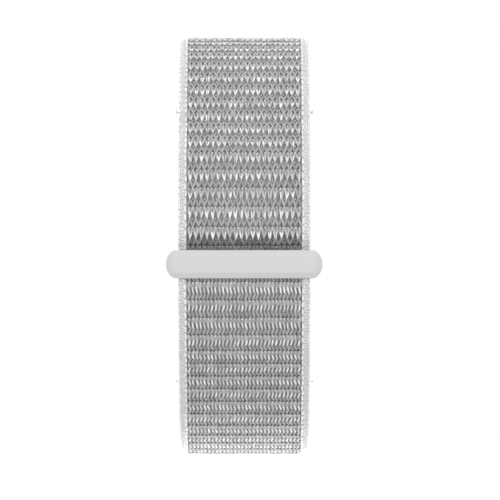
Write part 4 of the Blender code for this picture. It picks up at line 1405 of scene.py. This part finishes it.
# %% Profiles of the spring bars
HALF_TUBE = in_mm([(0.9, 9.25), (0.83, 9.4), (0.83, 9.6), (0.9, 9.75), (0.9, 10.14), (0.84, 10.2)])
TUBE_PROFILE = [(radius, -along) for radius, along in HALF_TUBE[::-1]] + HALF_TUBE
FIXED_TIP_PROFILE = in_mm([
    (0.3, -11.9), (0.41, -11.84), (0.45, -11.72), (0.45, -10.6), (0.85, -10.6), (0.9, -10.55),
    (0.9, -10.35), (0.85, -10.3), (0.5, -10.3), (0.5, -8.25), (0.45, -8.2),
])
SLIDING_TIP_PROFILE = in_mm([
    (0.45, 4.9), (0.5, 4.95), (0.5, 10.05), (0.45, 10.1), (0.45, 11.72), (0.41, 11.84), (0.3, 11.9),
])
KNOB_PROFILE = in_mm([
    (0.3, 0.6), (0.3, 1.2), (0.69, 1.2), (0.75, 1.26), (0.75, 1.55), (0.7, 1.6), (0.7, 1.72), (0.75, 1.77),
    (0.75, 2.2), (0.71, 2.32), (0.6, 2.4),
])
COIL_FIXED_END = FIXED_TIP_PROFILE[-1][1]
COIL_SLIDING_END = SLIDING_TIP_PROFILE[0][1]
print(f"each coil is {(COIL_SLIDING_END - COIL_FIXED_END) / MM:.1f} mm long at rest")

# %% [markdown]
# Steel that comes off a lathe has fine marks that run round it. Noise gives them when its coordinates are
# stretched: it changes fast along the axis, which is X, and slowly in the other two directions. The marks
# change the shine as well as the colour.

# %% Steel
STEEL_COLOUR = (0.62, 0.62, 0.63)
STEEL_ROUGHNESS = 0.3
MARK_SCALE = 1500.0
MARK_DETAIL = 4.0
MARK_STRETCH = 15.0
MARK_SHADE = 0.3
MARK_ROUGHNESS = 0.25
SMOOTHEST = 0.2
MARK_BUMP = 0.15
MARK_DEPTH = 0.004 * MM


def steel(name):
    """Turned steel with fine tool marks round its axis."""
    material, tree, shader = base_material(name, STEEL_ROUGHNESS, Metallic=1.0)
    place = separate(tree, step(tree, "ShaderNodeTexCoord")["Object"])
    place = combine(tree, place["X"] * MARK_STRETCH, place["Y"], place["Z"])
    marks = noise(tree, MARK_SCALE, MARK_DETAIL, place)
    plug(tree, marks * MARK_ROUGHNESS + SMOOTHEST, shader.node.inputs["Roughness"])
    coloured(tree, shader, STEEL_COLOUR, varied(marks, MARK_SHADE))
    bumped(tree, shader, MARK_BUMP, MARK_DEPTH, marks)
    return material


STEEL = steel("turned_spring_steel")
print("metal:", STEEL.name)

# %% [markdown]
# A bar is turned about its own axis, and its knob about an axis that stands on it and points to the
# wrist. So the same profiles serve both bars, whichever way each of them faces. The tube is bored right
# through, and its slot is longer than the knob's foot is wide, because the knob slides in it.

# %% Turning the bars
KNOB_X = 7.4 * MM
TUBE_BORE = 0.6 * MM
TUBE_SLOT_NEAR = KNOB_X - 1.72 * MM
TUBE_SLOT_FAR = KNOB_X + 0.42 * MM
TUBE_SLOT_HALF = 0.42 * MM
TUBE_SLOT_DEPTH = 1.0 * MM


def make_bar(word, inward):
    """The tube, two tips and release knob of one spring bar."""
    axis = bar_axis(word)
    side = ACROSS.cross(inward)

    def along_axis(x, y, z):
        return axis + ACROSS * x + side * y + inward * z

    def along_knob(out, y, z):
        return axis + ACROSS * KNOB_X + inward * out + side * y + ACROSS * z

    tube = turned(word + "_spring_bar_tube", TUBE_PROFILE, along_axis)
    bore = [(TUBE_BORE, -STRAP_HALF_WIDTH), (TUBE_BORE, STRAP_HALF_WIDTH)]
    combined(tube, turned("bore", bore, along_axis), "DIFFERENCE")
    corners = [(TUBE_SLOT_NEAR, -1), (TUBE_SLOT_FAR, -1), (TUBE_SLOT_FAR, 1), (TUBE_SLOT_NEAR, 1)]
    slot = loft("slot", [
        [along_axis(x, share * TUBE_SLOT_HALF, depth) for x, share in corners]
        for depth in (0.0, TUBE_SLOT_DEPTH)
    ])
    combined(tube, slot, "DIFFERENCE")
    pieces = [
        crisp(tube),
        turned(word + "_spring_bar_fixed_tip", FIXED_TIP_PROFILE, along_axis),
        turned(word + "_spring_bar_sliding_tip", SLIDING_TIP_PROFILE, along_axis),
        turned(word + "_spring_bar_knob", KNOB_PROFILE, along_knob),
    ]
    return [painted(item, STEEL) for item in pieces]


upper_bar = make_bar("upper", upper_inward)
lower_bar = make_bar("lower", lower_inward)
print("pieces of a bar:", ", ".join(item.name for item in upper_bar))

# %% [markdown]
# The coil in the frame already has the right shape, but it is a rigid solid, and a real coil is pressed
# together when the knob is pulled. A copy of it is made as a mesh of its own.

# %% The coil springs
def make_coil(word):
    """A copy of the frame's coil spring, as a mesh of its own."""
    bm = bmesh.new()
    bm.from_mesh(frame["nodes"][word + "_bar_spring"].data)
    return painted(finished(word + "_spring_bar_coil", bm), STEEL)


upper_coil = make_coil("upper")
lower_coil = make_coil("lower")
print("a coil has", len(upper_coil.data.polygons), "faces")

# %% [markdown]
# ## The pull tab
#
# The tail ends in a thin moulded tab that the fingers lift. It continues the curve of the webbing, is a
# little thinner and narrower than it, has two round corners, and carries a few raised ribs for grip. A
# row of cross-sections along the tail's own path makes it, because each section can have its own width
# and thickness: a circle draws in the corners and the tip, and a wave raises the ribs.

# %% The pull tab
TAB_START = 0.3 * MM
TAB_LENGTH = 5.5 * MM
TAB_HALF_THICKNESS = 0.75 * MM
TAB_HALF_WIDTH = STRAP_HALF_WIDTH - 0.8 * MM
TAB_CORNER = 3.0 * MM
TAB_EDGE = 0.45 * MM
TAB_STEP = 0.09 * MM
TAB_STEPS = 60
TAB_TIP = (0.06 * MM, 0.025 * MM, 0.005 * MM)
RIB_HEIGHT = 0.12 * MM
RIBS = 3
RIBS_START = 1.1 * MM
RIBS_PITCH = 0.9 * MM


def fall_of_circle(radius, beyond):
    """How far a quarter circle has drawn in, at a distance beyond its start."""
    return radius - math.sqrt(max(0.0, radius**2 - max(0.0, beyond) ** 2))


def tab_section(distance):
    """A cross-section of the tab at a distance from its start."""
    place, _, outward = place_on(TAIL_PATH, TAIL_LENGTH + TAB_START + distance)
    half = TAB_HALF_THICKNESS - fall_of_circle(TAB_EDGE, distance - (TAB_LENGTH - TAB_EDGE))
    wave = (distance - RIBS_START) / RIBS_PITCH
    if 0.0 < wave < RIBS:
        half += RIB_HEIGHT * math.sin(HALF_TURN * wave) ** 2
    across = TAB_HALF_WIDTH - fall_of_circle(TAB_CORNER, distance - (TAB_LENGTH - TAB_CORNER))
    corners = [(-across, -half), (across, -half), (across, half), (-across, half)]
    middle = place - outward * (WEBBING / 2)
    return [middle + ACROSS * x + outward * z for x, z in rounded(corners, TAB_EDGE, closed=True)]


tab_distances = [TAB_STEP * number for number in range(TAB_STEPS + 1)]
tab_distances += [TAB_LENGTH - left for left in TAB_TIP]
pull_tab = loft("pull_tab_with_grip", [tab_section(distance) for distance in tab_distances])
print(f"pull tab {2 * TAB_HALF_WIDTH / MM:.1f} x {TAB_LENGTH / MM:.1f} mm with {RIBS} ribs")

# %% [markdown]
# ## The moulded ring
#
# The ring is one injection moulding: a wide front bar with bulging ends and a bevelled face, two posts
# going back from it, and a round rod that the long half turns on. The bar is lofted from outlines of the
# same rounded shape, each a little further in, so the bevel runs evenly round the ends. Posts, rod and
# the slot for the short half are joined and cut with Boolean modifiers.

# %% The ring's bar
BAR_HEIGHT = RING_HIGH.z - RING_LOW.z
BAR_LENGTH = RING_HIGH.x - RING_LOW.x
RING_MIDDLE = (RING_HIGH.z + RING_LOW.z) / 2
BAR_DEPTH = 2.4 * MM
BAR_BULGE = 1.7 * MM
BEVEL = 0.95 * MM
BEVEL_DEPTH = 0.6 * MM
FACE_INSET = 1.6 * MM
FRONT_ROUND = 0.10 * MM
BACK_ROUND = 0.3 * MM
BAR_END_STEPS = 48


def half_circle(steps):
    """Angles from a quarter turn below to a quarter turn above."""
    return [HALF_TURN * number / steps - QUARTER_TURN for number in range(steps + 1)]


def bar_outline(inset):
    """The bar's outline in X and Z, with bulging ends, drawn in by an inset."""
    half_height = BAR_HEIGHT / 2 - inset
    bulge = BAR_BULGE - inset
    centre = BAR_LENGTH / 2 - BAR_BULGE
    points = []
    for side in (1, -1):
        for angle in half_circle(BAR_END_STEPS):
            points.append((side * (centre + bulge * math.cos(angle)), side * half_height * math.sin(angle)))
    return points


def bar_profile():
    """(depth, inset) points from the middle of the face to the middle of the back."""
    face, bevel = (0.0, FACE_INSET), (0.0, BEVEL)
    side, back = (BEVEL_DEPTH, 0.0), (BAR_DEPTH, 0.0)
    front_half = rounded([face, bevel, side, back], FRONT_ROUND)[:-1]
    back_half = rounded([side, back, (BAR_DEPTH, FACE_INSET)], BACK_ROUND)[1:]
    return front_half + back_half


ring = loft("moulded_ring", [
    [(x, RING_LOW.y + depth, RING_MIDDLE + z) for x, z in bar_outline(inset)]
    for depth, inset in bar_profile()
])
print(f"ring bar {BAR_LENGTH / MM:.1f} x {BAR_HEIGHT / MM:.1f} mm")

# %% [markdown]
# A post is lofted across the strap from the outline of its side view, which is straight at the bar and
# round where it holds the rod. The posts reach a little into the bar, and the rod a little into the
# posts, so that each Boolean has a common volume to join.

# %% Posts and rod
POST_INNER_X = STRAP_HALF_WIDTH + 0.35 * MM
POST_OUTER_X = POST_INNER_X + 1.0 * MM
POST_HALF_HEIGHT = 1.25 * MM
POST_STEPS = 24
POST_INSET = 0.5 * MM
POST_ROUND = 0.12 * MM
ROD_RADIUS = 0.9 * MM
ROD_Y = RING_HIGH.y - POST_HALF_HEIGHT
JOIN = 0.25 * MM


def post_outline(inset):
    """A post's outline in Y and Z, drawn in by an inset, from inside the bar to round the rod."""
    front = RING_LOW.y + BAR_DEPTH - JOIN
    half = POST_HALF_HEIGHT - inset
    points = [(front, half), (front, -half)]
    for angle in half_circle(POST_STEPS):
        points.append((ROD_Y + half * math.cos(angle), half * math.sin(angle)))
    return points


def make_post(side):
    """One post, with rounded long edges."""
    across = [
        (POST_INNER_X, POST_INSET), (POST_INNER_X, 0.0), (POST_OUTER_X, 0.0), (POST_OUTER_X, POST_INSET),
    ]
    rings = []
    for x, inset in rounded(across, POST_ROUND)[1:-1]:
        rings.append([(side * x, y, RING_MIDDLE + z) for y, z in post_outline(inset)])
    return loft("post", rings)


for side in (-1, 1):
    combined(ring, make_post(side), "UNION")
rod_profile = [(ROD_RADIUS, side * (POST_INNER_X + JOIN)) for side in (-1, 1)]
rod = turned("rod", rod_profile, lambda x, y, z: (x, ROD_Y + y, RING_MIDDLE + z))
combined(ring, rod, "UNION")
print(f"ring with two posts and a rod: {len(ring.data.polygons)} faces")

# %% [markdown]
# The short half's face ply ends inside the bar, so the bar gets a slot that is open at its lower side. A
# plain box cuts it. The box is a little wider than the webbing, and starts below the bar, so it leaves no
# skin of plastic in the opening.

# %% The slot for the short half
BAR_SLOT_FRONT = RING_LOW.y + 0.75 * MM
BAR_SLOT_BACK = BAR_SLOT_FRONT + 1.25 * MM
BAR_SLOT_HALF_WIDTH = BODY_HALF_WIDTH + 0.15 * MM
BAR_SLOT_START = RING_LOW.z - MM
BAR_SLOT_ROOF = RING_LOW.z + 1.7 * MM
slot_corners = [
    (-BAR_SLOT_HALF_WIDTH, BAR_SLOT_FRONT), (BAR_SLOT_HALF_WIDTH, BAR_SLOT_FRONT),
    (BAR_SLOT_HALF_WIDTH, BAR_SLOT_BACK), (-BAR_SLOT_HALF_WIDTH, BAR_SLOT_BACK),
]
slot = loft("cutter", [[(x, y, z) for x, y in slot_corners] for z in (BAR_SLOT_START, BAR_SLOT_ROOF)])
combined(ring, slot, "DIFFERENCE")
crisp(ring)
print(f"ring with its slot: {len(ring.data.polygons)} faces")

# %% [markdown]
# ## Plastic on the ring and the tab
#
# Ring and tab come from one pale, slightly shiny plastic. Its number looks low for so pale a grey, but
# colours are written in linear light here, where 0.66 looks as pale as 0.83 does on a screen.

# %% Plastic on the ring and the tab
RING_GREY = (0.66, 0.66, 0.66)
RING_ROUGHNESS = 0.45
RING_PLASTIC = plastic("pale_moulded_plastic", RING_GREY, RING_ROUGHNESS)
for item in (ring, pull_tab):
    painted(item, RING_PLASTIC)
print("plastic:", RING_PLASTIC.name)

# %% [markdown]
# ## Light, floor and camera
#
# The picture is a studio shot on pure white. A world of full strength would give that white, but it would
# wash out the yarn as well. So a ray from the camera, a reflection or glass sees full white, and light on
# the object gets less. The floor is pale paint with a glow of its own, which only the camera sees.

# %% World and floor
WORLD_LEVEL = 0.62
FLOOR_Z = -50 * MM
FLOOR_REACH = 0.6
FLOOR_COLOUR = (0.8, 0.8, 0.8, 1.0)
FLOOR_GLOW = 0.7
FLOOR_ROUGHNESS = 0.9
scene = bpy.context.scene
scene.view_settings.view_transform = "Standard"


def seen_directly(tree):
    """1 where a ray comes from the camera, a reflection or glass, and 0 for light on the object."""
    path = step(tree, "ShaderNodeLightPath")
    seen = path["Is Camera Ray"].math("MAXIMUM", path["Is Glossy Ray"])
    return seen.math("MAXIMUM", path["Is Transmission Ray"])


world = bpy.data.worlds.new("studio")
scene.world = world
world.use_nodes = True
tree = world.node_tree
background = tree.nodes["Background"]
background.inputs["Color"].default_value = (*WHITE, 1.0)
plug(tree, seen_directly(tree) * (1.0 - WORLD_LEVEL) + WORLD_LEVEL, background.inputs["Strength"])

floor_corners = [(x * FLOOR_REACH, y * FLOOR_REACH, FLOOR_Z) for x, y in ((-1, -1), (1, -1), (1, 1), (-1, 1))]
floor_mesh = bpy.data.meshes.new("floor")
floor_mesh.from_pydata(floor_corners, [], [(0, 1, 2, 3)])
floor = own(bpy.data.objects.new("floor", floor_mesh))
floor_material, tree, shader = base_material("white_floor", FLOOR_ROUGHNESS)
shader.node.inputs["Base Color"].default_value = FLOOR_COLOUR
shader.node.inputs["Emission Color"].default_value = (*WHITE, 1.0)
glow = step(tree, "ShaderNodeLightPath")["Is Camera Ray"] * FLOOR_GLOW
plug(tree, glow, shader.node.inputs["Emission Strength"])
floor_mesh.materials.append(floor_material)
print(f"white floor {2 * FLOOR_REACH:.1f} m wide")

# %% [markdown]
# Two large soft lights, one high in front and one high behind, give the soft shading of a light tent. A
# small and weak one below the strap lifts its underside, as light from a white table does.

# %% Lights
ABOVE_AND_IN_FRONT = (0.0, -0.65, 0.45)
ABOVE_AND_BEHIND = (0.0, 0.40, 0.53)
JUST_OVER_THE_FLOOR = (0.0, 0.0, -0.048)
STRAP_FRONT = (0.0, -0.03, 0.0)
STRAP_TOP = (0.0, -0.03, 0.03)
STRAP_MIDDLE = (0.0, 0.0, 0.0)


def soft_light(name, place, target, size, power):
    """A square soft light aimed at a point."""
    lamp = bpy.data.lights.new(name, "AREA")
    lamp.size = size
    lamp.energy = power
    item = own(bpy.data.objects.new(name, lamp))
    item.location = place
    item.rotation_euler = (Vector(target) - Vector(place)).to_track_quat("-Z", "Y").to_euler()
    item.visible_camera = False


soft_light("light_in_front", ABOVE_AND_IN_FRONT, STRAP_FRONT, size=0.7, power=2.4)
soft_light("light_behind", ABOVE_AND_BEHIND, STRAP_TOP, size=0.4, power=2.4)
soft_light("light_below", JUST_OVER_THE_FLOOR, STRAP_MIDDLE, size=0.06, power=0.022)
print("soft lights: in front, behind and below")

# %% [markdown]
# The camera stands far off with a long lens, because the picture shows hardly any perspective. It looks
# level and straight at the strap's front.

# %% Camera
CAMERA_PLACE = Vector((0.96, -1258.6, -0.58)) * MM
SENSOR_WIDTH = 36.0
FOCAL_LENGTH = 520.0
camera_data = bpy.data.cameras.new("camera")
camera_data.sensor_width = SENSOR_WIDTH
camera_data.lens = FOCAL_LENGTH
camera = own(bpy.data.objects.new("camera", camera_data))
camera.location = CAMERA_PLACE
camera.rotation_euler = (QUARTER_TURN, 0.0, 0.0)
scene.camera = camera
print(f"camera {-CAMERA_PLACE.y:.2f} m away with a {FOCAL_LENGTH:.0f} mm lens")

# %% [markdown]
# ## Riding on the frame
#
# Most pieces are hung on the body that carries them, and the frame's solids that they stand for are
# hidden. The tail's webbing and selvedges cross a hinge, where a rigid piece would tear, so they hang on
# no body, and their place is written into their meshes.

# %% The webbing rides
BEND_BEFORE = 0.8 * MM
BEND_AFTER = 1.5 * MM
END_BEND = 2 * MM
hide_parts("ring_fold_backing", "ring_fold_face", "tail_backing", "tail_face")
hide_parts("tail_end_backing", "tail_end_face")
tail_edges = ("ring_fold_edge_left", "ring_fold_edge_right", "tail_edge_left", "tail_edge_right")
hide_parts(*tail_edges)
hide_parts("tail_end_edge_left", "tail_end_edge_right")
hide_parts("short_strap_face")
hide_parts("short_strap_backing")
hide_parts("short_strap_edge_left", "short_strap_edge_right")
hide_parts("long_strap_face")
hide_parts("long_strap_backing")
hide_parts("long_strap_edge_left", "long_strap_edge_right")
hinge = place_on(TAIL_PATH, HINGE_PLACE)[0]
end_hinge, end_along, _ = place_on(TAIL_PATH, END_HINGE_PLACE)
bend_start = (0.0, hinge.y, hinge.z - BEND_BEFORE)
bend_end = (0.0, hinge.y, hinge.z + BEND_AFTER)
for item in (tail_front, tail_front_rims):
    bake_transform(item)
bend_start = tuple(end_hinge - end_along * END_BEND)
bend_end = tuple(end_hinge + end_along * END_BEND)
for item in (tail_back, tail_back_rims):
    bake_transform(item)
for item in (short_outer, short_inner, short_rims):
    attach(item, "short_half")
for item in (long_outer, long_inner, long_rims):
    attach(item, "long_half")
print("the tail bends over", f"{(BEND_BEFORE + BEND_AFTER) / MM:.1f} mm at the ring")

# %% [markdown]
# At each end of the strap the tunnel and its thread ride on their half, the tube and the fixed tip on the
# bar, and the sliding tip and the knob on the release. The coil hangs on no body, and its place is
# written into its mesh.

# %% Tunnels and spring bars ride
for word, half, tunnel, thread, bar, coil in (
    ("upper", "long_half", upper_tunnel, upper_thread, upper_bar, upper_coil),
    ("lower", "short_half", lower_tunnel, lower_thread, lower_bar, lower_coil),
):
    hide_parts(word + "_tunnel")
    for item in (tunnel, thread):
        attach(item, half)
    nodes = ("barrel", "fixed_tip", "sliding_tip", "release_knob")
    for item, node in zip(bar, nodes):
        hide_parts(f"{word}_bar_{node}")
        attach(item, word + ("_release" if node in nodes[2:] else "_bar"))
    coil_start = tuple(bar_axis(word) + ACROSS * COIL_FIXED_END)
    coil_end = tuple(bar_axis(word) + ACROSS * COIL_SLIDING_END)
    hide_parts(word + "_bar_spring")
    word + "_bar"
    word + "_release"
    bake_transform(coil)
print("pieces at each end of the strap:", 3 + len(upper_bar))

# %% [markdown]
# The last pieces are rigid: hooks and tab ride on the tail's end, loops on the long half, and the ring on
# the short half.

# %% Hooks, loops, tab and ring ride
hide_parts("hook_patch")
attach(hooks, "tail_end")
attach(long_loops, "long_half")
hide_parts("pull_tab")
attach(pull_tab, "tail_end")
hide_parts("ring")
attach(ring, "short_half")

# %% [markdown]
# ## The end
#
# The paths have done their work and go. The dressed strap may stand a little proud of its solids, but
# its size has to stay theirs.

# %% The end
for guide in list(GUIDES.objects):
    bpy.data.objects.remove(guide)
